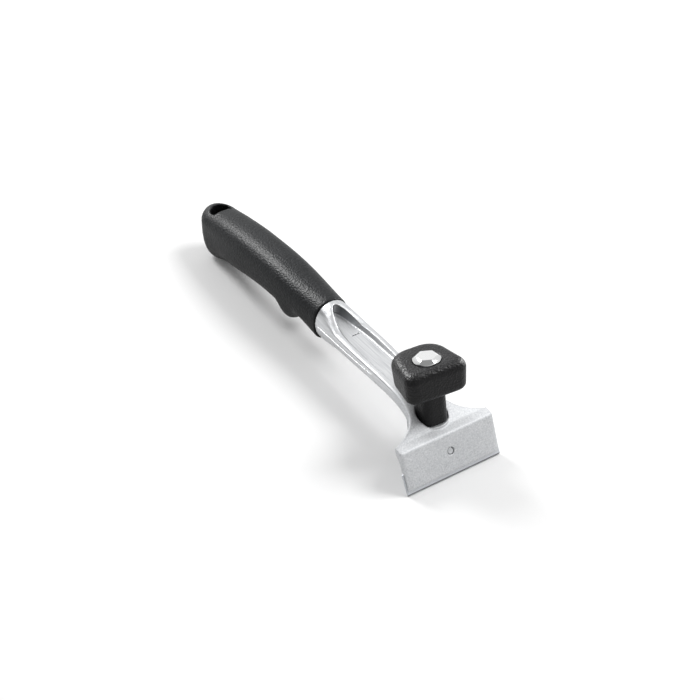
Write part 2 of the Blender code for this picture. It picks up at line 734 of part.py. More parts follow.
def grip_lines():
    """Half width, crest, belly and widest height of the grip as smooth lines along its length."""
    start = NECK_END_STATION
    rim_crest, rim_belly = NECK_END_CREST + GRIP_PROUD, NECK_END_BELLY - GRIP_PROUD
    half = smooth_line([
        (start, NECK_END_HALF + GRIP_PROUD),
        (HUMP_STATION, GRIP_HUMP_HALF),
        (BACK_STATION, GRIP_PALM_HALF),
        (HEEL_STATION, GRIP_TAIL_HALF),
        (TAIL_END_STATION, GRIP_TAIL_HALF - GRIP_PROUD),
    ])
    crest = smooth_line([
        (start, rim_crest),
        (COLLAR_STATION, rim_crest + GRIP_PROUD),
        (HUMP_STATION, GRIP_HUMP_CREST),
        (BACK_STATION, GRIP_BACK_CREST),
        (LOIN_STATION, GRIP_LOIN_CREST),
        (HEEL_STATION, GRIP_HEEL_CREST),
        (TAIL_END_STATION, GRIP_END_CREST),
    ])
    belly = smooth_line([
        (start, rim_belly),
        (COLLAR_STATION, COLLAR_BELLY),
        (FINGER_STOP_STATION, FINGER_STOP_BELLY),
        (STOP_REAR_STATION, STOP_REAR_BELLY),
        (PALM_STATION, PALM_BELLY),
        (LOIN_STATION, LOIN_BELLY),
        (HEEL_STATION, 0.0),
        (TAIL_END_STATION, TAIL_BELLY),
    ])
    widest = smooth_line([
        (start, rim_belly + GRIP_WIDEST_SHARE * (rim_crest - rim_belly)),
        (HUMP_STATION, GRIP_HUMP_WIDEST),
        (LOIN_STATION, GRIP_LOIN_WIDEST),
        (TAIL_END_STATION, TAIL_APEX_HEIGHT),
    ])
    return half, crest, belly, widest


def grip_ring(station, lines, shrink=1.0, top_shrink=1.0, inset=0.0):
    """Section of the grip, shrunk towards its middle where the tail rounds off."""
    half, crest, belly, middle = (line(station) for line in lines)
    rise = ease((station - LOIN_STATION) / (TAIL_END_STATION - LOIN_STATION))
    collar = 1.0 - ease((station - NECK_END_STATION) / (FINGER_STOP_STATION - NECK_END_STATION))
    upper = (GRIP_FULLNESS + (GRIP_COLLAR_TOP_FULLNESS - GRIP_FULLNESS) * collar
             + (TAIL_CROWN_FULLNESS - GRIP_FULLNESS) * rise)
    lower = (GRIP_BELLY_FULLNESS + (GRIP_COLLAR_BELLY_FULLNESS - GRIP_BELLY_FULLNESS) * collar
             + (TAIL_HEEL_FULLNESS - GRIP_BELLY_FULLNESS) * rise)
    top = middle + (crest - middle) * top_shrink - inset
    bottom = middle - (middle - belly) * shrink + inset
    return section_ring(station, half * shrink - inset, top, middle, bottom, upper, lower)


def tail_shrink(share, fullness):
    """How much of the section is left at a share of the tail's round end."""
    return max(1.0 - share**fullness, TAIL_TIP_SHARE) ** (1.0 / fullness)


def grip_mesh():
    """Outer shape of the grip."""
    lines = grip_lines()
    start = NECK_END_STATION + TOUCH_GAP
    rings = [grip_ring(start, lines, inset=GRIP_RIM_ROUND)]
    first = start + GRIP_RIM_ROUND
    for i in range(GRIP_STEPS):
        station = first + (TAIL_ROUND_STATION - first) * i / GRIP_STEPS
        rings.append(grip_ring(station, lines))
    tail = TAIL_END_STATION - TAIL_ROUND_STATION
    tail_steps = 2 * ROUND_STEPS
    for i in range(tail_steps + 1):
        share = math.sin(math.pi / 2.0 * i / tail_steps)
        shrink, top_shrink = tail_shrink(share, TAIL_FULLNESS), tail_shrink(share, TAIL_TOP_FULLNESS)
        rings.append(grip_ring(TAIL_ROUND_STATION + tail * share, lines, shrink, top_shrink))
    return loft("grip", rings)


def hole_outline():
    """D of the hanging hole: straight in front, round behind."""
    radius = HOLE_WIDTH / 2.0
    centre = HOLE_FRONT_STATION + HOLE_LENGTH - radius
    back = [(x, centre + y) for x, y in arc(radius, 0.0, math.pi, 4 * ROUND_STEPS + 1)]
    front = [(-radius, HOLE_FRONT_STATION), (radius, HOLE_FRONT_STATION)]
    return back + front


def grip_screw_place():
    """Where the head of the grip's screw bears: sunk behind the straight wall of the hanging hole."""
    return (0.0, HOLE_FRONT_STATION - GRIP_SCREW_HEAD_HEIGHT - 2.0 * TOUCH_GAP, TANG_END_HEIGHT)


# The grip's screw is drawn along Z with its head up; this turn points the head at the tail.
GRIP_SCREW_TURN = (-math.pi / 2.0, 0.0, 0.0)


def build_grip(material):
    """Moulded sleeve with the tang's space, the hanging hole and the screw's hole."""
    grip = add_part("handle_grip", grip_mesh(), material, FRAME)
    before, after = NECK_END_STATION - TOUCH_GAP, TANG_END_STATION + TOUCH_GAP
    space = loft("tang_space", [tang_ring(before, TOUCH_GAP), tang_ring(after, TOUCH_GAP)])
    combine(grip, add_tool("tang_space", space, FRAME), "DIFFERENCE")

    hole = prism("hole_space", [hole_outline()], 3.0 * GRIP_HUMP_CREST)
    combine(grip, add_tool("hole_space", hole, FRAME), "DIFFERENCE")

    shank = GRIP_SCREW_DIAMETER / 2.0 + TOUCH_GAP
    head = GRIP_SCREW_HEAD_DIAMETER / 2.0 + TOUCH_GAP
    channel = turned("grip_screw_space", [
        (shank, -GRIP_SCREW_LENGTH),
        (shank, -TOUCH_GAP),
        (head, -TOUCH_GAP),
        (head, HOLE_LENGTH / 2.0),
    ], SCREW_STEPS)
    channel_tool = add_tool("grip_screw_space", channel, FRAME, grip_screw_place(), GRIP_SCREW_TURN)
    combine(grip, channel_tool, "DIFFERENCE")
    return grip


def build_grip_screw(material):
    """Pan-head screw that holds the grip to the tang."""
    shank, head = GRIP_SCREW_DIAMETER / 2.0, GRIP_SCREW_HEAD_DIAMETER / 2.0
    mesh = turned("grip_screw", [
        (shank / 4.0, -GRIP_SCREW_LENGTH),
        (shank, -GRIP_SCREW_LENGTH + GRIP_SCREW_DIAMETER),
        (shank, 0.0),
        (head, 0.0),
        (head, GRIP_SCREW_HEAD_HEIGHT / 2.0),
        (shank, GRIP_SCREW_HEAD_HEIGHT),
    ], SCREW_STEPS)
    return add_part("grip_screw", mesh, material, FRAME, grip_screw_place(), GRIP_SCREW_TURN)


def build_blade(material):
    """Carbide strip, ground to an edge along both long sides."""
    rear, front = 0.0, BLADE_THICKNESS
    outline = [
        along_blade(0.0, rear),
        along_blade(BLADE_HEIGHT, rear),
        along_blade(BLADE_HEIGHT - BLADE_GRIND, front),
        along_blade(BLADE_GRIND, front),
    ]
    mesh = prism("carbide_blade", [outline], BLADE_WIDTH, SIDE_ON)
    return add_part("carbide_blade", mesh, material, FRAME)


def build_pin(material):
    """Stop pin through the front jaw; its end sits a little below the front face."""
    place, turn = pin_axis()
    radius, length = PIN_DIAMETER / 2.0, pin_length() - PIN_SINK
    profile = [(radius, 0.0), (radius, length - PIN_SINK), (radius - PIN_SINK / 2.0, length)]
    mesh = turned("blade_stop_pin", profile, TURN_STEPS)
    return add_part("blade_stop_pin", mesh, material, FRAME, place, turn)


def stem_reach():
    """Farthest point of the square stem from the axis."""
    return (STEM_SIDE / 2.0 - STEM_CORNER) * math.sqrt(2.0) + STEM_CORNER


def stem_outline():
    """Rounded square of the stem."""
    half, radius = STEM_SIDE / 2.0, STEM_CORNER
    corners = [(half, -half), (half, half), (-half, half), (-half, -half)]
    return rounded_outline([(x, y, radius) for x, y in corners])


def knob_outline(inset):
    """Rounded trapezium of the knob, wider towards the blade."""
    front, back = KNOB_FRONT_WIDTH / 2.0 - inset, KNOB_BACK_WIDTH / 2.0 - inset
    near, far = KNOB_SETBACK - KNOB_DEPTH / 2.0 + inset, KNOB_SETBACK + KNOB_DEPTH / 2.0 - inset
    front_corner = max(KNOB_FRONT_CORNER - inset / 2.0, MM)
    back_corner = max(KNOB_BACK_CORNER - inset / 2.0, MM)
    return rounded_outline([(front, near, front_corner), (back, far, back_corner),
                            (-back, far, back_corner), (-front, near, front_corner)])


def knob_mesh():
    """Knob and stem in one skin, with the seats of the cap, screw and washer and the bore."""
    count = 4 * CORNER_POINTS
    cap_radius = CAP_DIAMETER / 2.0 + TOUCH_GAP
    top_round = min(KNOB_TOP_ROUND, KNOB_DEPTH / 2.0 - KNOB_SETBACK - cap_radius - TOUCH_GAP)
    rings = [at_height(stem_outline(), 0.0), at_height(stem_outline(), KNOB_BOTTOM)]
    for i in range(ROUND_STEPS + 1):
        angle = math.pi / 2.0 * i / ROUND_STEPS
        inset = KNOB_BOTTOM_ROUND * (1.0 - math.sin(angle)) + KNOB_TAPER
        height = KNOB_BOTTOM + KNOB_BOTTOM_ROUND * (1.0 - math.cos(angle))
        rings.append(at_height(knob_outline(inset), height))
    for i in range(ROUND_STEPS + 1):
        angle = math.pi / 2.0 * i / ROUND_STEPS
        inset = top_round * (1.0 - math.cos(angle))
        rings.append(at_height(knob_outline(inset), KNOB_TOP - top_round * (1.0 - math.sin(angle))))
    hexagon = even_hexagon(SCREW_HEAD_FLATS + 2.0 * TOUCH_GAP, count)
    bore = even_circle(SCREW_DIAMETER / 2.0 + TOUCH_GAP, count)
    washer = even_circle(WASHER_DIAMETER / 2.0 + TOUCH_GAP, count)
    head_floor = SCREW_HEAD_BOTTOM - TOUCH_GAP
    rings += [
        at_height(even_circle(cap_radius, count), KNOB_TOP),
        at_height(even_circle(cap_radius, count), CAP_SEAT),
        at_height(hexagon, CAP_SEAT),
        at_height(hexagon, head_floor),
        at_height(bore, head_floor),
        at_height(bore, WASHER_ROOF),
        at_height(washer, WASHER_ROOF),
        at_height(washer, 0.0),
    ]
    return loft("knob", rings, closed=True)


def build_knob(material):
    """Palm knob, turned a little as it was left."""
    return add_part("knob", knob_mesh(), material, CLAMP, turn=(0.0, 0.0, KNOB_REST_TURN))


def build_cap(material):
    """Bright cap: a round plug whose top is cut to six facets round a flat hexagon."""
    radius = CAP_DIAMETER / 2.0
    rim, crown = KNOB_TOP + CAP_RIM, KNOB_TOP + CAP_RISE
    plug = cylinder("knob_cap", radius, CAP_SEAT + TOUCH_GAP, crown, SEAT_STEPS)
    cap = add_part("knob_cap", plug, material, CLAMP, turn=(0.0, 0.0, CAP_TURN))
    corner = 1.0 / math.cos(math.pi / 6.0)
    slope = (radius - CAP_FLATS / 2.0) / (crown - rim)
    low = CAP_SEAT - CAP_RISE
    wide = radius + slope * (rim - low)
    facets = cone("cap_facets", wide * corner, CAP_FLATS / 2.0 * corner, low, crown, HEXAGON_STEPS)
    combine(cap, add_tool("cap_facets", facets, CLAMP, turn=(0.0, 0.0, CAP_TURN)), "INTERSECT")
    return cap


def build_screw(material):
    """Clamp screw with a hexagon head and two ring grooves."""
    radius, core = SCREW_DIAMETER / 2.0, SCREW_DIAMETER / 2.0 - RING_GROOVE_DEPTH
    profile = [(radius - SCREW_END_CHAMFER, SCREW_END)]
    for top in (LOWER_RING_TOP, UPPER_RING_TOP):
        low, high = top - RING_THICKNESS - TOUCH_GAP, top + TOUCH_GAP
        profile += [(radius, low), (core, low), (core, high), (radius, high)]
    profile.append((radius, SCREW_HEAD_BOTTOM + SCREW_HEAD_HEIGHT / 2.0))
    shank = turned("clamp_screw", profile, TURN_STEPS)
    screw = add_part("clamp_screw", shank, material, CLAMP, turn=(0.0, 0.0, KNOB_REST_TURN))
    corner = SCREW_HEAD_FLATS / 2.0 / math.cos(math.pi / HEXAGON_STEPS)
    head = cylinder("screw_head", corner, SCREW_HEAD_BOTTOM, SCREW_HEAD_TOP, HEXAGON_STEPS)
    combine(screw, add_tool("screw_head", head, CLAMP, turn=(0.0, 0.0, KNOB_REST_TURN)), "UNION")
    return screw


def build_washer(material):
    """Thrust washer under the stem."""
    outlines = [circle(WASHER_DIAMETER / 2.0), circle(SCREW_DIAMETER / 2.0 + SCREW_PLAY)]
    mesh = prism("thrust_washer", outlines, WASHER_THICKNESS)
    middle = (WASHER_TOP + WASHER_BOTTOM) / 2.0
    return add_part("thrust_washer", mesh, material, CLAMP, (0.0, 0.0, middle))


def build_ring(name, top, material):
    """Open snap ring in a groove of the screw."""
    inner = SCREW_DIAMETER / 2.0 - RING_GROOVE_DEPTH + TOUCH_GAP
    half = RING_MOUTH / 2.0
    sweep = 2.0 * math.pi - half
    outline = arc(RING_DIAMETER / 2.0, half, sweep, TURN_STEPS) + arc(inner, sweep, half, TURN_STEPS)
    mesh = prism(name, [outline], RING_THICKNESS)
    return add_part(name, mesh, material, CLAMP, (0.0, 0.0, top - RING_THICKNESS / 2.0))


def jaw_profile():
    """Side view of the clamp jaw: a block round the screw with a nose that lies on the blade."""
    gap = -TOUCH_GAP
    nose_low = on_axis(*along_blade(JAW_NOSE_LOW, gap))
    nose_top = on_axis(*along_blade(JAW_NOSE_TOP, gap))
    nose_heel = (nose_low[0] + JAW_NOSE_DEPTH, nose_low[1])
    return [
        nose_low,
        nose_top,
        (-JAW_FRONT_REACH, JAW_BOTTOM + TOUCH_GAP),
        (-JAW_FRONT_REACH, JAW_TOP),
        (JAW_REAR_REACH, JAW_TOP),
        (JAW_REAR_REACH, JAW_BOTTOM),
        (nose_heel[0] + JAW_NOSE_DEPTH / 2.0, JAW_BOTTOM),
        nose_heel,
    ]


def jaw_plan():
    """Plan of the clamp jaw: wide at the blade, narrow round the screw."""
    nose, block = JAW_NOSE_WIDTH / 2.0, JAW_BLOCK_WIDTH / 2.0
    front, rear = 2.0 * JAW_FRONT_REACH, JAW_REAR_REACH + TOUCH_GAP
    half = [
        (nose, -front),
        (nose, -JAW_FRONT_REACH - JAW_NOSE_DEPTH / 2.0),
        (block, -JAW_FRONT_REACH / 2.0),
        (block, rear),
    ]
    return half + [(-x, y) for x, y in reversed(half)]


def build_jaw(material):
    """Wedge jaw behind the blade, with the nut's pocket open below."""
    block = prism("clamp_jaw", [jaw_profile()], 2.0 * JAW_NOSE_WIDTH, SIDE_ON)
    jaw = add_part("clamp_jaw", block, material, CLAMP)
    plan = prism("jaw_plan", [jaw_plan()], 4.0 * STEM_LENGTH)
    combine(jaw, add_tool("jaw_plan", plan, CLAMP), "INTERSECT")

    half = NUT_SIDE / 2.0 + TOUCH_GAP
    ceiling, depth = NUT_TOP + TOUCH_GAP, 2.0 * NUT_HEIGHT
    square = [(-half, -half), (half, -half), (half, half), (-half, half)]
    pocket = prism("nut_space", [square], depth)
    combine(jaw, add_tool("nut_space", pocket, CLAMP, (0.0, 0.0, ceiling - depth / 2.0)), "DIFFERENCE")

    bore = cylinder("jaw_bore", SCREW_DIAMETER / 2.0 + SCREW_PLAY, SCREW_END, SEAT_FLOOR, TURN_STEPS)
    combine(jaw, add_tool("jaw_bore", bore, CLAMP), "DIFFERENCE")
    return jaw


def build_nut(material):
    """Square nut in the jaw."""
    half = NUT_SIDE / 2.0
    square = [(-half, -half), (half, -half), (half, half), (-half, half)]
    mesh = prism("jaw_nut", [square, circle(SCREW_DIAMETER / 2.0 + TOUCH_GAP)], NUT_HEIGHT)
    return add_part("jaw_nut", mesh, material, CLAMP, (0.0, 0.0, NUT_TOP - NUT_HEIGHT / 2.0))


def build_scraper():
    """All pieces of the scraper."""
    cast = new_material("cast_aluminium", (0.62, 0.63, 0.64), 0.42, 1.0)
    moulded = new_material("grained_black_polypropylene", (0.016, 0.017, 0.018), 0.5, 0.0)
    knob_black = new_material("black_nylon", (0.012, 0.012, 0.013), 0.45, 0.0)
    chrome = new_material("bright_chrome", (0.78, 0.78, 0.79), 0.12, 1.0)
    carbide = new_material("sintered_carbide", (0.10, 0.10, 0.11), 0.38, 1.0)
    steel = new_material("zinc_plated_steel", (0.50, 0.51, 0.53), 0.35, 1.0)
    spring_steel = new_material("oiled_spring_steel", (0.07, 0.07, 0.08), 0.4, 1.0)
    acetal = new_material("black_acetal", (0.014, 0.014, 0.015), 0.4, 0.0)

    build_casting(cast)
    build_grip(moulded)
    build_grip_screw(steel)
    build_blade(carbide)
    build_pin(steel)
    build_knob(knob_black)
    build_cap(chrome)
    build_screw(steel)
    build_washer(acetal)
    build_ring("screw_retaining_ring", UPPER_RING_TOP, spring_steel)
    build_jaw(cast)
    build_nut(steel)
    build_ring("screw_end_ring", LOWER_RING_TOP, spring_steel)


clear_scene()
PARTS = new_collection("paint_scraper")
TOOLS = new_collection("shaping_tools")
FRAME = new_empty("tool_frame", location=(0.0, -MIDDLE_STATION, 0.0))
CLAMP = new_empty("clamp_axis", FRAME, (0.0, SEAT_STATION, SEAT_HEIGHT), AXIS_LEAN)
build_scraper()
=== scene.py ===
"""Looks of a two-handed paint scraper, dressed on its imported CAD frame.

The file is laid out as an add-on and run as a script. Lengths are in metres, +Z is up, and +Y runs
from the blade to the tail of the grip.
"""

import json
import math

import bmesh
import bpy
from bpy.props import FloatProperty, FloatVectorProperty, IntProperty, PointerProperty
from bpy.types import Operator, Panel, PropertyGroup
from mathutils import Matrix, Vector
from mathutils.bvhtree import BVHTree

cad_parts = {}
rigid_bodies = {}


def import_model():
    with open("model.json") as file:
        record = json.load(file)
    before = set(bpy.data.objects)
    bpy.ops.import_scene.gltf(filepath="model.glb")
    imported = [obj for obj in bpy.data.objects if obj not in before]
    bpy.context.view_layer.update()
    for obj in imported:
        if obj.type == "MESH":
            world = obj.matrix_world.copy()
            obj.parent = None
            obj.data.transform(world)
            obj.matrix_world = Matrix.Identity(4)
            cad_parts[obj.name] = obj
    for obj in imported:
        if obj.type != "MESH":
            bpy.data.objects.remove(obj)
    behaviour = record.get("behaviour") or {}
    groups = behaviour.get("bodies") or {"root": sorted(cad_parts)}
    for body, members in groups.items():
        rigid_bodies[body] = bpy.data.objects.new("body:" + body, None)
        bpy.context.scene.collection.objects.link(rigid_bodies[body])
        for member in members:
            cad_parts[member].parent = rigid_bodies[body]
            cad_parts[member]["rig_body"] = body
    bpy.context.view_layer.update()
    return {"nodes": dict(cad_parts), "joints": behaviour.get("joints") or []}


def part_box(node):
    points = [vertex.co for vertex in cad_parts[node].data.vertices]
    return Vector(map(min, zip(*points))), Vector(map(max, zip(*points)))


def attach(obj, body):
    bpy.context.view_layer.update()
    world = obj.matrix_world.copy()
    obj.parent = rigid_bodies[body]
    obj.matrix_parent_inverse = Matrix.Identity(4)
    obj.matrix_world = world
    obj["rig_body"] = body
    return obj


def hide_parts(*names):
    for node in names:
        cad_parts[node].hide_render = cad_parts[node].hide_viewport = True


bl_info = {
    "name": "Paint scraper",
    "version": (1, 0, 0),
    "blender": (4, 5, 0),
    "location": "3D View > Sidebar > Scraper",
    "description": "Dresses the packed paint scraper with its finishes and sets up its studio",
    "category": "Object",
}

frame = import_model()
NODES = frame["nodes"]
MM = 0.001
BLACK_PLASTICS = "black_plastics"

# The clamp's axis, from the joint that turns the knob
KNOB_JOINT = next(joint for joint in frame["joints"] if joint["name"] == "knob_turn")
AXIS_FOOT = Vector(KNOB_JOINT["pos_m"])
AXIS = Vector(KNOB_JOINT["axis"]).normalized()

# Where the casting's skin changes along the tool, and over what stretch the painted shade on the pocket's
# walls comes in
NECK_FINISH = (-108.0 * MM, -80.0 * MM)
POCKET_POINT = (-56.0 * MM, -14.0 * MM)
# Half width of the neck's pocket at its rim, and how far the painted shade on the pocket's walls fades out
# there
POCKET_RIM = 9.0 * MM
RIM_FADE = 0.2 * MM

# Points above and beside the casting, from which rays find the places of its marks on its skin
DIE_MARK_ABOVE = Vector((1.1, -34.4, 60.0)) * MM
PARTING_START = Vector((60.0, -10.2, 31.0)) * MM
PARTING_END = Vector((60.0, -71.5, 33.3)) * MM
PARTING_STEPS = 30
# Section of the parting line, out from the skin and up, in half widths
PARTING_SECTION = ((1.0, -0.2), (0.0, 0.4), (-1.0, 0.5), (-1.0, -1.0), (0.0, -1.0))
# Share of its width that the line keeps at its ends, and how fast it widens from there
PARTING_END_SHARE = 0.3
PARTING_WIDENING = 12.0

# Angles between faces that count as flat, as a crease, and as an edge to break, and the welding distance
FLAT_ANGLE = math.radians(0.5)
CREASE_ANGLE = math.radians(30.0)
THREAD_CREASE = math.radians(35.0)
SHARP_ANGLE = math.radians(20.0)
FACET_ANGLE = math.radians(12.0)
WELD_DISTANCE = 0.002 * MM

# Side and thickness of the floor, and width of the camera's sensor
FLOOR_SIDE = 12.0
FLOOR_THICKNESS = 0.02
SENSOR_WIDTH_MM = 36.0
# Softboxes: name, place and size in metres, setting of the power, and whether only the black plastics are lit
SOFTBOXES = (
    ("rear_softbox", (-0.20, 0.93, 0.92), (0.36, 0.55), "rear_light", False),
    ("key_softbox", (0.75, -0.30, 1.10), (0.60, 0.60), "key_light", False),
    ("strip_light", (-0.26, 0.93, 0.92), (0.42, 0.55), "strip_light", True),
    ("side_light", (1.00, 0.08, 0.30), (0.30, 0.30), "side_light", True),
)


def linear(code):
    """Linear RGBA of an sRGB hex colour."""
    channels = [int(code[i:i + 2], 16) / 255.0 for i in (1, 3, 5)]
    return (*[c / 12.92 if c <= 0.04045 else ((c + 0.055) / 1.055) ** 2.4 for c in channels], 1.0)


def per_metre(millimetres):
    """Texture scale of a pattern whose repeat is given in millimetres."""
    return 1.0 / (millimetres * MM)


class ScraperSizes(PropertyGroup):
    """Sizes of the finish: rounded edges, marks, thread and recess."""
    casting_voxel: FloatProperty(
        name="Casting fineness", description="Mesh size of the softened casting",
        default=0.4 * MM, unit="LENGTH", precision=5)
    casting_passes: IntProperty(
        name="Casting softening", description="Smoothing passes that round the cast edges", default=4)
    lip_height: FloatProperty(
        name="Lip height", description="Height of the front jaw's lip, whose edges stay crisp",
        default=6.0 * MM, unit="LENGTH", precision=5)
    grip_voxel: FloatProperty(
        name="Grip fineness", description="Mesh size of the softened grip",
        default=0.6 * MM, unit="LENGTH", precision=5)
    grip_passes: IntProperty(
        name="Grip softening", description="Smoothing passes that round the moulded edges", default=4)
    knob_voxel: FloatProperty(
        name="Knob fineness", description="Mesh size of the softened knob",
        default=0.4 * MM, unit="LENGTH", precision=5)
    knob_passes: IntProperty(
        name="Knob softening", description="Smoothing passes that round the moulded edges", default=3)
    edge_break: FloatProperty(
        name="Edge break", description="Width of the broken edges on turned and pressed pieces",
        default=0.15 * MM, unit="LENGTH", precision=5)
    seam_width: FloatProperty(
        name="Parting line", description="Width of the die's parting line along the neck",
        default=0.65 * MM, unit="LENGTH", precision=5)
    tick_length: FloatProperty(
        name="Die mark length", description="Length of the short die mark in the pocket",
        default=5.4 * MM, unit="LENGTH", precision=5)
    tick_width: FloatProperty(
        name="Die mark width", description="Width of the short die mark in the pocket",
        default=0.8 * MM, unit="LENGTH", precision=5)
    thread_diameter: FloatProperty(
        name="Thread diameter", description="Outer diameter of the clamp screw's thread",
        default=8.0 * MM, unit="LENGTH", precision=5)
    thread_pitch: FloatProperty(
        name="Thread pitch", description="Pitch of the clamp screw's thread",
        default=1.25 * MM, unit="LENGTH", precision=5)
    thread_depth: FloatProperty(
        name="Thread depth", description="Depth of the clamp screw's thread",
        default=0.55 * MM, unit="LENGTH", precision=5)
    thread_voxel: FloatProperty(
        name="Thread fineness", description="Mesh size of the threaded screw",
        default=0.2 * MM, unit="LENGTH", precision=5)
    recess_length: FloatProperty(
        name="Cross recess length", description="Length of the arms of the grip screw's recess",
        default=3.8 * MM, unit="LENGTH", precision=5)
    recess_width: FloatProperty(
        name="Cross recess width", description="Width of the arms of the grip screw's recess",
        default=0.9 * MM, unit="LENGTH", precision=5)


class ScraperColours(PropertyGroup):
    """Colours of the finishes."""
    aluminium: FloatVectorProperty(
        name="Aluminium", description="Blasted cast aluminium", subtype="COLOR", size=4,
        default=linear("#dddedf"), min=0.0, max=1.0)
    aluminium_dull: FloatVectorProperty(
        name="Dull aluminium", description="Darker skin between the grains of the casting", subtype="COLOR",
        size=4, default=linear("#b6b8bb"), min=0.0, max=1.0)
    grip_plastic: FloatVectorProperty(
        name="Grip plastic", description="Moulded black polypropylene", subtype="COLOR", size=4,
        default=linear("#0d0e0f"), min=0.0, max=1.0)
    knob_plastic: FloatVectorProperty(
        name="Knob plastic", description="Moulded black nylon", subtype="COLOR", size=4,
        default=linear("#0b0b0c"), min=0.0, max=1.0)
    chrome: FloatVectorProperty(
        name="Chrome", description="Polished chrome plate", subtype="COLOR", size=4,
        default=linear("#eceded"), min=0.0, max=1.0)
    carbide: FloatVectorProperty(
        name="Carbide", description="Ground sintered carbide", subtype="COLOR", size=4,
        default=linear("#55575b"), min=0.0, max=1.0)
    zinc: FloatVectorProperty(
        name="Zinc", description="Bright zinc plate on steel", subtype="COLOR", size=4,
        default=linear("#c3c6ca"), min=0.0, max=1.0)
    spring_steel: FloatVectorProperty(
        name="Spring steel", description="Oiled spring steel", subtype="COLOR", size=4,
        default=linear("#4a4a4d"), min=0.0, max=1.0)
    acetal: FloatVectorProperty(
        name="Acetal", description="Black acetal washer", subtype="COLOR", size=4,
        default=linear("#121213"), min=0.0, max=1.0)


class ScraperStage(PropertyGroup):
    """Floor, light and camera of the studio."""
    floor_colour: FloatVectorProperty(
        name="Floor", description="Pale seamless floor", subtype="COLOR", size=4,
        default=linear("#ebebeb"), min=0.0, max=1.0)
    room_light: FloatProperty(
        name="Room light", description="Strength of the white room", default=0.78)
    rear_light: FloatProperty(
        name="Rear light", description="Softbox above and behind the tool", default=9.0, unit="POWER")
    strip_light: FloatProperty(
        name="Strip light", description="Strip behind the tool, flagged off all but the black plastics",
        default=44.0, unit="POWER")
    side_light: FloatProperty(
        name="Side light", description="Small box low on the right, flagged off all but the black plastics",
        default=12.0, unit="POWER")
    key_light: FloatProperty(
        name="Key light", description="Softbox above, to the right of the blade", default=12.0, unit="POWER")
    lens: FloatProperty(
        name="Lens", description="Focal length on a 36 mm sensor", default=86.915, unit="CAMERA")
    azimuth: FloatProperty(
        name="Azimuth", description="Turn of the camera about the tool", default=math.radians(-33.703),
        subtype="ANGLE")
    elevation: FloatProperty(
        name="Elevation", description="Height of the camera above the horizon", default=math.radians(38.887),
        subtype="ANGLE")
    camera_place: FloatVectorProperty(
        name="Camera place", description="Where the camera stands", subtype="TRANSLATION", unit="LENGTH",
        default=(-0.44214, -0.69272, 0.66233))


def add_node(tree, kind, inputs=None, **settings):
    """Shader node with its settings; an input takes a value or another node's socket."""
    node = tree.nodes.new("ShaderNode" + kind)
    for name, value in settings.items():
        setattr(node, name, value)
    for name, value in (inputs or {}).items():
        if isinstance(value, bpy.types.NodeSocket):
            tree.links.new(value, node.inputs[name])
        else:
            node.inputs[name].default_value = value
    return node


def new_material(name, **sockets):
    """Principled material with constants on the shader's own sockets, and its object coordinates."""
    material = bpy.data.materials.new(name)
    material.use_nodes = True
    tree = material.node_tree
    shader = tree.nodes["Principled BSDF"]
    for socket, value in sockets.items():
        shader.inputs[socket.replace("_", " ").title().replace("Ior", "IOR")].default_value = value
    place = add_node(tree, "TexCoord").outputs["Object"]
    return material, tree, shader, place


def shade(colour, share):
    """A colour made darker or lighter, still opaque."""
    return [share * channel for channel in colour[:3]] + [1.0]


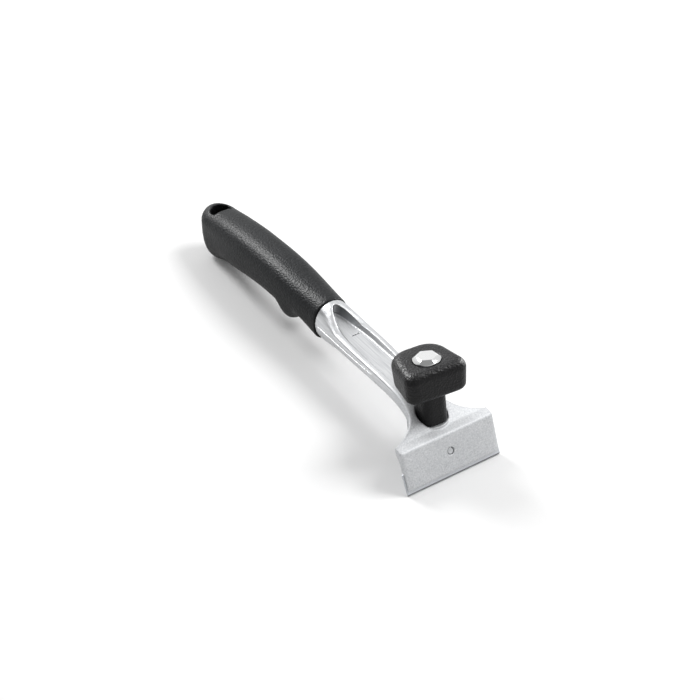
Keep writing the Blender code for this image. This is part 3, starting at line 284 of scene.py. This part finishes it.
def blasted_cast_aluminium(colours):
    """Die-cast aluminium, shot-blasted: a matt, speckled silver on the head, smoother along the neck."""
    material, tree, shader, place = new_material("blasted_cast_aluminium", metallic=1.0)
    across, along, _ = add_node(tree, "SeparateXYZ", {"Vector": place}).outputs
    # Blasting leaves pits of about 0.2 mm. They are drawn coarser, because finer ones vanish in the picture.
    pit_mm = 0.9
    grain = add_node(tree, "TexNoise", {
        "Vector": place, "Scale": per_metre(pit_mm), "Detail": 2.0, "Roughness": 0.6}).outputs[0]
    # The metal's flow in the die clouds the skin over a centimetre or two.
    cloud_mm = 16.0
    clouds = add_node(tree, "TexNoise", {
        "Vector": place, "Scale": per_metre(cloud_mm), "Detail": 3.0, "Roughness": 0.5}).outputs[0]
    # Draw lines of the die run along the neck.
    line_gap_mm, line_length_mm = 0.7, 30.0
    stretched = add_node(tree, "Mapping", {"Vector": place, "Scale": (
        per_metre(line_gap_mm), per_metre(line_length_mm), per_metre(line_gap_mm))}).outputs[0]
    lines = add_node(tree, "TexNoise", {"Vector": stretched, "Scale": 1.0, "Detail": 2.0}).outputs[0]
    neck = add_node(tree, "MapRange", {
        "Value": along, "From Min": NECK_FINISH[0], "From Max": NECK_FINISH[1]},
        interpolation_type="SMOOTHSTEP").outputs[0]

    speckle = add_node(tree, "MapRange", {"Value": grain, "To Min": -0.5, "To Max": 1.3}).outputs[0]
    cloud_share = 0.25
    clouded = add_node(tree, "Math", {
        0: clouds, 1: cloud_share, 2: speckle}, operation="MULTIPLY_ADD").outputs[0]
    streaks = add_node(tree, "MapRange", {"Value": lines, "To Min": -0.3, "To Max": 1.5}).outputs[0]
    clear = add_node(tree, "Mix", {0: neck, 2: clouded, 3: streaks}, clamp_result=True).outputs[0]
    skin = add_node(tree, "Mix", {
        0: clear, 6: colours.aluminium_dull, 7: colours.aluminium}, data_type="RGBA").outputs[2]
    # Painted shade: the steep wall faces at the pocket's point are coloured a darker grey.
    # They are the faces that lean well over, do not look down, and lie within the rim, near the point.
    facing = add_node(tree, "NewGeometry").outputs["Normal"]
    upward = add_node(tree, "SeparateXYZ", {"Vector": facing}).outputs["Z"]
    reach = add_node(tree, "Math", {0: across}, operation="ABSOLUTE").outputs[0]
    flat, steep = 0.85, 0.60
    sheer, rising = 0.0, 0.1
    painted_wall_shade = 1.0
    for value, start, end in (
            (upward, flat, steep), (upward, sheer, rising),
            (reach, POCKET_RIM + RIM_FADE, POCKET_RIM - RIM_FADE), (along, *POCKET_POINT)):
        share = add_node(tree, "MapRange", {"Value": value, "From Min": start, "From Max": end}).outputs[0]
        painted_wall_shade = add_node(tree, "Math", {0: share, 1: painted_wall_shade}, operation="MULTIPLY").outputs[0]
    # Colour of the painted shade: the dull aluminium at half its brightness.
    grey = shade(colours.aluminium_dull, 0.5)
    colour = add_node(tree, "Mix", {0: painted_wall_shade, 6: skin, 7: grey}, data_type="RGBA").outputs[2]
    tree.links.new(colour, shader.inputs["Base Color"])

    head_roughness, neck_roughness, grain_roughness = 0.62, 0.38, 0.12
    sheen = add_node(tree, "Mix", {0: neck, 2: head_roughness, 3: neck_roughness}).outputs[0]
    rough = add_node(tree, "Math", {
        0: grain, 1: grain_roughness, 2: sheen}, operation="MULTIPLY_ADD").outputs[0]
    tree.links.new(rough, shader.inputs["Roughness"])
    pits = add_node(tree, "Bump", {"Strength": 0.22, "Distance": 0.3 * MM, "Height": grain}).outputs[0]
    drawn = add_node(tree, "Bump", {
        "Strength": 0.10, "Distance": 0.2 * MM, "Height": lines, "Normal": pits}).outputs[0]
    tree.links.new(drawn, shader.inputs["Normal"])
    return material


def filed_aluminium(colours):
    """Aluminium filed bright along the die's parting line: pale, with short scratches along the line."""
    material, tree, shader, place = new_material("filed_aluminium", metallic=1.0)
    # File marks are about 0.1 mm apart. They are drawn coarser to show.
    mark_gap_mm, mark_length_mm = 0.4, 4.0
    stretched = add_node(tree, "Mapping", {"Vector": place, "Scale": (
        per_metre(mark_gap_mm), per_metre(mark_length_mm), per_metre(mark_gap_mm))}).outputs[0]
    marks = add_node(tree, "TexNoise", {"Vector": stretched, "Scale": 1.0, "Detail": 2.0}).outputs[0]
    colour = add_node(tree, "Mix", {
        0: marks, 6: colours.aluminium, 7: colours.chrome}, data_type="RGBA").outputs[2]
    tree.links.new(colour, shader.inputs["Base Color"])
    rough = add_node(tree, "MapRange", {"Value": marks, "To Min": 0.25, "To Max": 0.45}).outputs[0]
    tree.links.new(rough, shader.inputs["Roughness"])
    return material


def grained_plastic(name, colour, grain_mm, depth_mm, roughness, gloss):
    """Black plastic moulded in an etched die: a leathery grain that breaks the highlight into fine points."""
    material, tree, shader, place = new_material(name, ior=1.49, specular_ior_level=gloss)
    # The etched grain is about 0.4 mm. It is drawn coarser so that it shows in the picture.
    cells = add_node(tree, "TexVoronoi", {
        "Vector": place, "Scale": per_metre(grain_mm), "Smoothness": 0.6},
        feature="SMOOTH_F1").outputs["Distance"]
    fine_mm = 0.8 * grain_mm
    fine = add_node(tree, "TexNoise", {
        "Vector": place, "Scale": per_metre(fine_mm), "Detail": 2.0}).outputs[0]
    fine_share = 0.5
    height = add_node(tree, "Math", {0: fine, 1: fine_share, 2: cells}, operation="MULTIPLY_ADD").outputs[0]
    # Handling rubs the tops of the grain a little paler than the hollows, more in some places than in others.
    patch_mm, patch_share = 22.0, 0.6
    patches = add_node(tree, "TexNoise", {
        "Vector": place, "Scale": per_metre(patch_mm), "Detail": 4.0, "Roughness": 0.6}).outputs[0]
    tops = add_node(tree, "MapRange", {"Value": fine, "To Min": -1.6, "To Max": 2.0}).outputs[0]
    rubbed = add_node(tree, "Math", {
        0: patches, 1: patch_share, 2: tops}, operation="MULTIPLY_ADD", use_clamp=True).outputs[0]
    skin = add_node(tree, "Mix", {
        0: rubbed, 6: shade(colour, 0.7), 7: shade(colour, 2.0)}, data_type="RGBA").outputs[2]
    tree.links.new(skin, shader.inputs["Base Color"])
    uneven = 0.24
    rough = add_node(tree, "Math", {
        0: fine, 1: uneven, 2: roughness - uneven / 2.0}, operation="MULTIPLY_ADD").outputs[0]
    tree.links.new(rough, shader.inputs["Roughness"])
    bump = add_node(tree, "Bump", {"Strength": 0.8, "Distance": depth_mm * MM, "Height": height}).outputs[0]
    tree.links.new(bump, shader.inputs["Normal"])
    return material


def polished_chrome(colours):
    """Chrome plate on a polished pressing: a mirror, with a faint haze where thumbs have been."""
    material, tree, shader, place = new_material("polished_chrome", metallic=1.0, base_color=colours.chrome)
    thumb_mm = 5.0
    haze = add_node(tree, "TexNoise", {
        "Vector": place, "Scale": per_metre(thumb_mm), "Detail": 4.0, "Roughness": 0.6}).outputs[0]
    rough = add_node(tree, "MapRange", {"Value": haze, "To Min": 0.06, "To Max": 0.20}).outputs[0]
    tree.links.new(rough, shader.inputs["Roughness"])
    return material


def ground_carbide(colours):
    """Sintered carbide, ground on a diamond wheel and finely lined across: a dark edge under paler faces,
    painted as shade and light.
    """
    material, tree, shader, place = new_material("ground_carbide", metallic=1.0)
    across, _, above = add_node(tree, "SeparateXYZ", {"Vector": place}).outputs
    # Wheel marks are a few hundredths of a millimetre apart. They are drawn coarser to show.
    mark_gap_mm, mark_length_mm = 0.5, 8.0
    stretched = add_node(tree, "Mapping", {"Vector": place, "Scale": (
        per_metre(mark_gap_mm), per_metre(mark_length_mm), per_metre(mark_length_mm))}).outputs[0]
    marks = add_node(tree, "TexNoise", {"Vector": stretched, "Scale": 1.0, "Detail": 3.0}).outputs[0]
    edge = add_node(tree, "Mix", {
        0: marks, 6: shade(colours.carbide, 0.6), 7: colours.carbide}, data_type="RGBA").outputs[2]
    # Painted light and shade: the strip's two ends, and its faces above the edge, are painted a paler zinc
    # grey over the dark edge.
    half_width, end_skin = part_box("carbide_blade")[1][0], 0.05 * MM
    reach = add_node(tree, "Math", {0: across}, operation="ABSOLUTE").outputs[0]
    end = add_node(tree, "Math", {0: reach, 1: half_width - end_skin}, operation="GREATER_THAN").outputs[0]
    edge_top, face_foot = 1.2 * MM, 1.5 * MM
    face = add_node(tree, "MapRange", {
        "Value": above, "From Min": edge_top, "From Max": face_foot}).outputs[0]
    painted_light_share = add_node(tree, "Math", {0: face, 1: end}, operation="MAXIMUM").outputs[0]
    colour = add_node(tree, "Mix", {0: painted_light_share, 6: edge, 7: colours.zinc}, data_type="RGBA").outputs[2]
    tree.links.new(colour, shader.inputs["Base Color"])
    rough = add_node(tree, "MapRange", {"Value": marks, "To Min": 0.25, "To Max": 0.42}).outputs[0]
    tree.links.new(rough, shader.inputs["Roughness"])
    bump = add_node(tree, "Bump", {"Strength": 0.15, "Distance": 0.1 * MM, "Height": marks}).outputs[0]
    tree.links.new(bump, shader.inputs["Normal"])
    return material


def bright_zinc_plate(colours):
    """Steel with a bright zinc plate: pale grey, clouded by the bath with a little yellow."""
    material, tree, shader, place = new_material("bright_zinc_plate", metallic=1.0)
    cloud_mm = 4.0
    bath = add_node(tree, "TexNoise", {
        "Vector": place, "Scale": per_metre(cloud_mm), "Detail": 4.0, "Roughness": 0.6}).outputs[0]
    yellowed = [colours.zinc[0], 0.98 * colours.zinc[1], 0.93 * colours.zinc[2], 1.0]
    colour = add_node(tree, "Mix", {0: bath, 6: colours.zinc, 7: yellowed}, data_type="RGBA").outputs[2]
    tree.links.new(colour, shader.inputs["Base Color"])
    rough = add_node(tree, "MapRange", {"Value": bath, "To Min": 0.24, "To Max": 0.42}).outputs[0]
    tree.links.new(rough, shader.inputs["Roughness"])
    return material


def oil_blacked_spring_steel(colours):
    """Hardened spring steel, oiled: near black, with brown clouds where the oil has dried."""
    material, tree, shader, place = new_material("oil_blacked_spring_steel", metallic=1.0)
    stain_mm = 2.5
    oil = add_node(tree, "TexNoise", {
        "Vector": place, "Scale": per_metre(stain_mm), "Detail": 4.0, "Roughness": 0.7}).outputs[0]
    steel = colours.spring_steel
    brown = [1.15 * steel[0], 0.95 * steel[1], 0.75 * steel[2], 1.0]
    colour = add_node(tree, "Mix", {0: oil, 6: steel, 7: brown}, data_type="RGBA").outputs[2]
    tree.links.new(colour, shader.inputs["Base Color"])
    rough = add_node(tree, "MapRange", {"Value": oil, "To Min": 0.28, "To Max": 0.50}).outputs[0]
    tree.links.new(rough, shader.inputs["Roughness"])
    return material


def punched_acetal(colours):
    """Acetal sheet, punched: smooth black with a waxy, slightly scuffed face."""
    material, tree, shader, place = new_material("punched_acetal", ior=1.48)
    scuff_mm = 1.5
    scuff = add_node(tree, "TexNoise", {
        "Vector": place, "Scale": per_metre(scuff_mm), "Detail": 5.0, "Roughness": 0.7}).outputs[0]
    scuffed = shade(colours.acetal, 1.6)
    colour = add_node(tree, "Mix", {0: scuff, 6: colours.acetal, 7: scuffed}, data_type="RGBA").outputs[2]
    tree.links.new(colour, shader.inputs["Base Color"])
    rough = add_node(tree, "MapRange", {"Value": scuff, "To Min": 0.30, "To Max": 0.48}).outputs[0]
    tree.links.new(rough, shader.inputs["Roughness"])
    return material


def finish(make, colours):
    """The finish that a function makes, made once and kept under the function's name."""
    # No finish is named like a slot, because the frame brings plain materials with those names.
    return bpy.data.materials.get(make.__name__) or make(colours)


def place_piece(name, mesh, material, node):
    """Piece that stands for a CAD node and rides with its body."""
    piece = bpy.data.objects.new(name, mesh)
    bpy.context.scene.collection.objects.link(piece)
    mesh.materials.clear()
    mesh.materials.append(material)
    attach(piece, NODES[node]["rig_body"])
    return piece


def welded_copy(node, name):
    """Clean mesh of a CAD node, with its points welded."""
    source = NODES[node].data
    mesh = bpy.data.meshes.new(name)
    mesh.from_pydata([v.co for v in source.vertices], [], [list(p.vertices) for p in source.polygons])
    shape = bmesh.new()
    shape.from_mesh(mesh)
    bmesh.ops.remove_doubles(shape, verts=shape.verts, dist=WELD_DISTANCE)
    bmesh.ops.recalc_face_normals(shape, faces=shape.faces)
    shape.to_mesh(mesh)
    shape.free()
    return mesh


def settle(piece):
    """Apply a piece's modifiers to its mesh."""
    bpy.context.view_layer.update()
    graph = bpy.context.evaluated_depsgraph_get()
    mesh = bpy.data.meshes.new_from_object(piece.evaluated_get(graph))
    mesh.name = piece.data.name
    piece.modifiers.clear()
    piece.data = mesh


def soften(piece, voxel, passes, crisp_below=None):
    """Give a piece the soft, even edges of a casting or a moulding, but for the part below a height."""
    remesh = piece.modifiers.new("skin", "REMESH")
    remesh.mode = "VOXEL"
    remesh.voxel_size = voxel
    remesh.use_smooth_shade = True
    settle(piece)
    smooth = piece.modifiers.new("soft_edges", "SMOOTH")
    smooth.factor = 0.5
    smooth.iterations = passes
    if crisp_below is not None:
        soft = piece.vertex_groups.new(name="soft")
        soft.add([vert.index for vert in piece.data.vertices if vert.co.z > crisp_below], 1.0, "REPLACE")
        smooth.vertex_group = soft.name
    settle(piece)
    piece.vertex_groups.clear()


def break_edges(piece, width, limit=SHARP_ANGLE):
    """Round a piece's sharp edges by a narrow bevel."""
    shape = bmesh.new()
    shape.from_mesh(piece.data)
    bmesh.ops.dissolve_limit(shape, angle_limit=FLAT_ANGLE, verts=shape.verts, edges=shape.edges)
    shape.to_mesh(piece.data)
    shape.free()
    bevel = piece.modifiers.new("broken_edges", "BEVEL")
    bevel.width = width
    bevel.segments = 2
    bevel.limit_method = "ANGLE"
    bevel.angle_limit = limit
    bevel.use_clamp_overlap = True
    bevel.harden_normals = False
    settle(piece)
    piece.data.shade_smooth()
    piece.data.set_sharp_from_angle(angle=CREASE_ANGLE)


def cut(piece, mesh):
    """Cut a shape out of a piece."""
    tool = bpy.data.objects.new("cutter", mesh)
    bpy.context.scene.collection.objects.link(tool)
    step = piece.modifiers.new("cut", "BOOLEAN")
    step.object = tool
    step.operation = "DIFFERENCE"
    step.solver = "EXACT"
    settle(piece)
    bpy.data.objects.remove(tool, do_unlink=True)


def piece_like(node, name, material):
    """Copy of a CAD node as a piece that replaces it."""
    piece = place_piece(name, welded_copy(node, name), material, node)
    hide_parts(node)
    return piece


def ring_skin(name, rings):
    """Closed mesh through rings of equal point count, capped at both ends."""
    shape = bmesh.new()
    loops = [[shape.verts.new(point) for point in ring] for ring in rings]
    count = len(loops[0])
    shape.faces.new(loops[0])
    shape.faces.new(loops[-1])
    for near, far in zip(loops, loops[1:]):
        for i in range(count):
            j = (i + 1) % count
            shape.faces.new((near[i], near[j], far[j], far[i]))
    bmesh.ops.recalc_face_normals(shape, faces=shape.faces)
    mesh = bpy.data.meshes.new(name)
    shape.to_mesh(mesh)
    shape.free()
    return mesh


def box_mesh(name, size, centre):
    """Box of a size about a centre."""
    shape = bmesh.new()
    bmesh.ops.create_cube(shape, size=1.0)
    bmesh.ops.scale(shape, vec=size, verts=shape.verts)
    bmesh.ops.translate(shape, vec=centre, verts=shape.verts)
    mesh = bpy.data.meshes.new(name)
    shape.to_mesh(mesh)
    shape.free()
    return mesh


def on_skin(tree, start, direction):
    """First point that a ray meets on a skin."""
    hit = tree.ray_cast(start, direction)[0]
    if hit is None:
        raise RuntimeError("the ray missed the casting")
    return hit


class SCRAPER_OT_casting(Operator):
    """Cast body with soft edges, its die mark and its parting lines"""
    bl_idname = "scraper.casting"
    bl_label = "Cast body"

    def execute(self, context):
        sizes, colours = context.scene.scraper_sizes, context.scene.scraper_colours
        metal = finish(blasted_cast_aluminium, colours)
        body = piece_like("body_casting", "cast_body", metal)
        soften(body, sizes.casting_voxel, sizes.casting_passes, sizes.lip_height)

        skin = BVHTree.FromObject(body, context.evaluated_depsgraph_get())
        mark = on_skin(skin, DIE_MARK_ABOVE, Vector((0.0, 0.0, -1.0)))
        depth = 3.0 * sizes.tick_width
        cut(body, box_mesh("die_mark", (sizes.tick_length, sizes.tick_width, depth), mark))

        filed = finish(filed_aluminium, colours)
        for side, name in ((-1.0, "parting_line_left"), (1.0, "parting_line_right")):
            self.parting_line(skin, side, name, sizes.seam_width, filed)
        return {"FINISHED"}

    def parting_line(self, skin, side, name, width, metal):
        """Thin raised line that the two halves of the die leave along the neck's flat side."""
        rings = []
        for i in range(PARTING_STEPS + 1):
            share = i / PARTING_STEPS
            beside = PARTING_START.lerp(PARTING_END, share)
            hit = on_skin(skin, Vector((side * beside.x, beside.y, beside.z)), Vector((-side, 0.0, 0.0)))
            taper = min(1.0, PARTING_WIDENING * min(share, 1.0 - share) + PARTING_END_SHARE)
            half = width / 2.0 * taper
            rings.append([
                (hit.x + side * out * half, hit.y, hit.z + up * half) for out, up in PARTING_SECTION])
        mesh = ring_skin(name, rings)
        mesh.shade_smooth()
        place_piece(name, mesh, metal, "body_casting")


class SCRAPER_OT_grip(Operator):
    """Moulded grip with rounded rims"""
    bl_idname = "scraper.grip"
    bl_label = "Grip"

    def execute(self, context):
        sizes, colours = context.scene.scraper_sizes, context.scene.scraper_colours
        plastic = grained_plastic(
            "grained_polypropylene", colours.grip_plastic,
            grain_mm=1.2, depth_mm=0.30, roughness=0.46, gloss=0.12)
        grip = piece_like("handle_grip", "moulded_grip", plastic)
        soften(grip, sizes.grip_voxel, sizes.grip_passes)
        bpy.data.collections[BLACK_PLASTICS].objects.link(grip)
        return {"FINISHED"}


class SCRAPER_OT_knob(Operator):
    """Moulded palm knob"""
    bl_idname = "scraper.knob"
    bl_label = "Palm knob"

    def execute(self, context):
        sizes, colours = context.scene.scraper_sizes, context.scene.scraper_colours
        plastic = grained_plastic(
            "grained_nylon", colours.knob_plastic,
            grain_mm=1.2, depth_mm=0.36, roughness=0.42, gloss=0.21)
        knob = piece_like("knob", "palm_knob", plastic)
        soften(knob, sizes.knob_voxel, sizes.knob_passes)
        bpy.data.collections[BLACK_PLASTICS].objects.link(knob)
        return {"FINISHED"}


class SCRAPER_OT_cap(Operator):
    """Chromed cap with broken facet edges"""
    bl_idname = "scraper.cap"
    bl_label = "Knob cap"

    def execute(self, context):
        sizes, colours = context.scene.scraper_sizes, context.scene.scraper_colours
        chrome = finish(polished_chrome, colours)
        cap = piece_like("knob_cap", "chromed_cap", chrome)
        break_edges(cap, sizes.edge_break, limit=FACET_ANGLE)
        return {"FINISHED"}


class SCRAPER_OT_blade(Operator):
    """Ground carbide blade"""
    bl_idname = "scraper.blade"
    bl_label = "Carbide blade"

    def execute(self, context):
        carbide = finish(ground_carbide, context.scene.scraper_colours)
        blade = piece_like("carbide_blade", "ground_blade", carbide)
        # A ground strip keeps sharper edges than a turned piece.
        ground_share = 0.4
        break_edges(blade, ground_share * context.scene.scraper_sizes.edge_break)
        return {"FINISHED"}


class SCRAPER_OT_clamp_jaw(Operator):
    """Clamp jaw with the soft edges of a casting"""
    bl_idname = "scraper.clamp_jaw"
    bl_label = "Clamp jaw"

    def execute(self, context):
        sizes, colours = context.scene.scraper_sizes, context.scene.scraper_colours
        metal = finish(blasted_cast_aluminium, colours)
        jaw = piece_like("clamp_jaw", "cast_clamp_jaw", metal)
        soften(jaw, sizes.casting_voxel, sizes.casting_passes)
        return {"FINISHED"}


class SCRAPER_OT_fasteners(Operator):
    """Stop pin, square nut, washer and snap rings with broken edges"""
    bl_idname = "scraper.fasteners"
    bl_label = "Pin, nut, washer and rings"

    def execute(self, context):
        sizes, colours = context.scene.scraper_sizes, context.scene.scraper_colours
        zinc = finish(bright_zinc_plate, colours)
        spring = finish(oil_blacked_spring_steel, colours)
        acetal = finish(punched_acetal, colours)
        pieces = [
            ("blade_stop_pin", "turned_stop_pin", zinc, "zinc_plated_steel"),
            ("jaw_nut", "square_nut", zinc, "zinc_plated_steel"),
            ("thrust_washer", "acetal_washer", acetal, "black_acetal"),
            ("screw_retaining_ring", "upper_snap_ring", spring, "oiled_spring_steel"),
            ("screw_end_ring", "lower_snap_ring", spring, "oiled_spring_steel"),
        ]
        for node, name, material, slot in pieces:
            break_edges(piece_like(node, name, material), sizes.edge_break)
        return {"FINISHED"}


class SCRAPER_OT_clamp_screw(Operator):
    """Clamp screw with its rolled thread"""
    bl_idname = "scraper.clamp_screw"
    bl_label = "Clamp screw"

    def execute(self, context):
        sizes, colours = context.scene.scraper_sizes, context.scene.scraper_colours
        zinc = finish(bright_zinc_plate, colours)
        screw = piece_like("clamp_screw", "zinc_clamp_screw", zinc)
        soften(screw, sizes.thread_voxel, passes=1)
        lean = AXIS.rotation_difference(Vector((0.0, 0.0, 1.0)))
        for vert in screw.data.vertices:
            across, back, up = lean @ (vert.co - AXIS_FOOT)
            reach = math.hypot(across, back)
            if abs(reach - sizes.thread_diameter / 2.0) < sizes.thread_voxel and up < 0.0:
                turn = math.atan2(back, across) / (2.0 * math.pi)
                phase = (up / sizes.thread_pitch - turn) % 1.0
                groove = sizes.thread_depth * abs(2.0 * phase - 1.0)
                vert.co = AXIS_FOOT + lean.inverted() @ Vector((
                    across * (1.0 - groove / reach), back * (1.0 - groove / reach), up))
        screw.data.shade_smooth()
        screw.data.set_sharp_from_angle(angle=THREAD_CREASE)
        return {"FINISHED"}


class SCRAPER_OT_grip_screw(Operator):
    """Pan-head screw of the grip with its cross recess"""
    bl_idname = "scraper.grip_screw"
    bl_label = "Grip screw"

    def execute(self, context):
        sizes, colours = context.scene.scraper_sizes, context.scene.scraper_colours
        zinc = finish(bright_zinc_plate, colours)
        screw = piece_like("grip_screw", "pan_head_screw", zinc)
        low, high = (Vector(corner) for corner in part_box("grip_screw"))
        crown = Vector(((low.x + high.x) / 2.0, high.y, (low.z + high.z) / 2.0))
        width, arm = sizes.recess_width, sizes.recess_length
        for size in ((arm, 2.0 * width, width), (width, 2.0 * width, arm)):
            cut(screw, box_mesh("cross_recess", size, crown))
        small_share = 0.5
        break_edges(screw, small_share * sizes.edge_break)
        return {"FINISHED"}


class SCRAPER_OT_stage(Operator):
    """Pale floor, soft studio light and the camera"""
    bl_idname = "scraper.stage"
    bl_label = "Studio"

    def execute(self, context):
        stage = context.scene.scraper_stage
        self.floor(stage)
        self.room(context.scene, stage)
        plastics = bpy.data.collections.new(BLACK_PLASTICS)
        for name, place, size, power, plastics_alone in SOFTBOXES:
            only = plastics if plastics_alone else None
            self.softbox(name, Vector(place), size, getattr(stage, power), only)
        self.camera(context.scene, stage)
        return {"FINISHED"}

    def floor(self, stage):
        """Seamless pale floor under the tool."""
        # Pressed board under a matt white coat: even and without gloss, with a hardly visible cloud of fibre
        material, tree, shader, place = new_material("matt_white_board", roughness=0.9)
        cloud_mm = 40.0
        fibre = add_node(tree, "TexNoise", {"Vector": place, "Scale": per_metre(cloud_mm)}).outputs[0]
        colour = add_node(tree, "Mix", {
            0: fibre, 6: shade(stage.floor_colour, 0.99), 7: stage.floor_colour}, data_type="RGBA").outputs[2]
        tree.links.new(colour, shader.inputs["Base Color"])
        size, centre = (FLOOR_SIDE, FLOOR_SIDE, FLOOR_THICKNESS), (0.0, 0.0, -FLOOR_THICKNESS / 2.0)
        floor = bpy.data.objects.new("studio_floor", box_mesh("studio_floor", size, centre))
        floor.data.materials.append(material)
        bpy.context.scene.collection.objects.link(floor)

    def room(self, scene, stage):
        """White room: dim on the left and overhead, brightest behind the tool."""
        world = bpy.data.worlds.new("white_room")
        world.use_nodes = True
        tree = world.node_tree
        tree.nodes.clear()
        ray = add_node(tree, "TexCoord").outputs["Generated"]
        across, _, up = add_node(tree, "SeparateXYZ", {"Vector": ray}).outputs
        rear = (0.45, 0.78, 0.44)
        behind = add_node(tree, "VectorMath", {0: ray, 1: rear}, operation="DOT_PRODUCT").outputs["Value"]
        # Each row turns the light from one share to another over a range of directions.
        glow = stage.room_light
        for value, start, end, first, last in (
                (across, -0.85, -0.25, 0.5, 1.0),
                (up, 0.70, 0.88, 1.0, 0.4),
                (behind, 0.70, 0.97, 1.0, 1.3)):
            share = add_node(tree, "MapRange", {
                "Value": value, "From Min": start, "From Max": end, "To Min": first, "To Max": last},
                interpolation_type="SMOOTHSTEP").outputs[0]
            glow = add_node(tree, "Math", {0: share, 1: glow}, operation="MULTIPLY").outputs[0]
        light = add_node(tree, "Background", {"Color": (1.0, 1.0, 1.0, 1.0), "Strength": glow}).outputs[0]
        add_node(tree, "OutputWorld", {"Surface": light})
        scene.world = world

    def softbox(self, name, place, size, power, only=None):
        """Rectangular softbox that faces the tool, and lights one group of pieces alone if that is given."""
        lamp = bpy.data.lights.new(name, "AREA")
        lamp.shape = "RECTANGLE"
        lamp.size, lamp.size_y = size
        lamp.energy = power
        holder = bpy.data.objects.new(name, lamp)
        bpy.context.scene.collection.objects.link(holder)
        holder.location = place
        holder.rotation_euler = place.to_track_quat("Z", "Y").to_euler()
        if only is not None:
            holder.light_linking.receiver_collection = only

    def camera(self, scene, stage):
        """Camera at the photograph's angle."""
        lens = bpy.data.cameras.new("camera")
        lens.sensor_width = SENSOR_WIDTH_MM
        lens.lens = stage.lens
        lens.clip_start = 0.01
        camera = bpy.data.objects.new("camera", lens)
        scene.collection.objects.link(camera)
        camera.location = stage.camera_place
        camera.rotation_euler = (math.pi / 2.0 - stage.elevation, 0.0, stage.azimuth)
        scene.camera = camera
        scene.view_settings.view_transform = "Standard"


class SCRAPER_PT_panel(Panel):
    """Steps that dress the scraper"""
    bl_idname = "SCRAPER_PT_panel"
    bl_label = "Paint scraper"
    bl_space_type = "VIEW_3D"
    bl_region_type = "UI"
    bl_category = "Scraper"

    def draw(self, context):
        for step in STEPS:
            self.layout.operator(step.bl_idname)
        scene = context.scene
        for group in (scene.scraper_sizes, scene.scraper_colours, scene.scraper_stage):
            for name in group.__annotations__:
                self.layout.prop(group, name)


STEPS = (
    SCRAPER_OT_stage,
    SCRAPER_OT_casting,
    SCRAPER_OT_grip,
    SCRAPER_OT_knob,
    SCRAPER_OT_cap,
    SCRAPER_OT_blade,
    SCRAPER_OT_clamp_jaw,
    SCRAPER_OT_fasteners,
    SCRAPER_OT_clamp_screw,
    SCRAPER_OT_grip_screw,
)
GROUPS = (ScraperSizes, ScraperColours, ScraperStage)


def register():
    """Register the settings, the steps and the panel."""
    for item in (*GROUPS, *STEPS, SCRAPER_PT_panel):
        bpy.utils.register_class(item)
    bpy.types.Scene.scraper_sizes = PointerProperty(type=ScraperSizes)
    bpy.types.Scene.scraper_colours = PointerProperty(type=ScraperColours)
    bpy.types.Scene.scraper_stage = PointerProperty(type=ScraperStage)


def unregister():
    """Take the settings, the steps and the panel away again."""
    del bpy.types.Scene.scraper_sizes
    del bpy.types.Scene.scraper_colours
    del bpy.types.Scene.scraper_stage
    for item in (SCRAPER_PT_panel, *reversed(STEPS), *reversed(GROUPS)):
        bpy.utils.unregister_class(item)


def main():
    """Dress the frame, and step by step."""
    register()
    for step in STEPS:
        group, name = step.bl_idname.split(".")
        getattr(getattr(bpy.ops, group), name)()


if __name__ == "__main__":
    main()
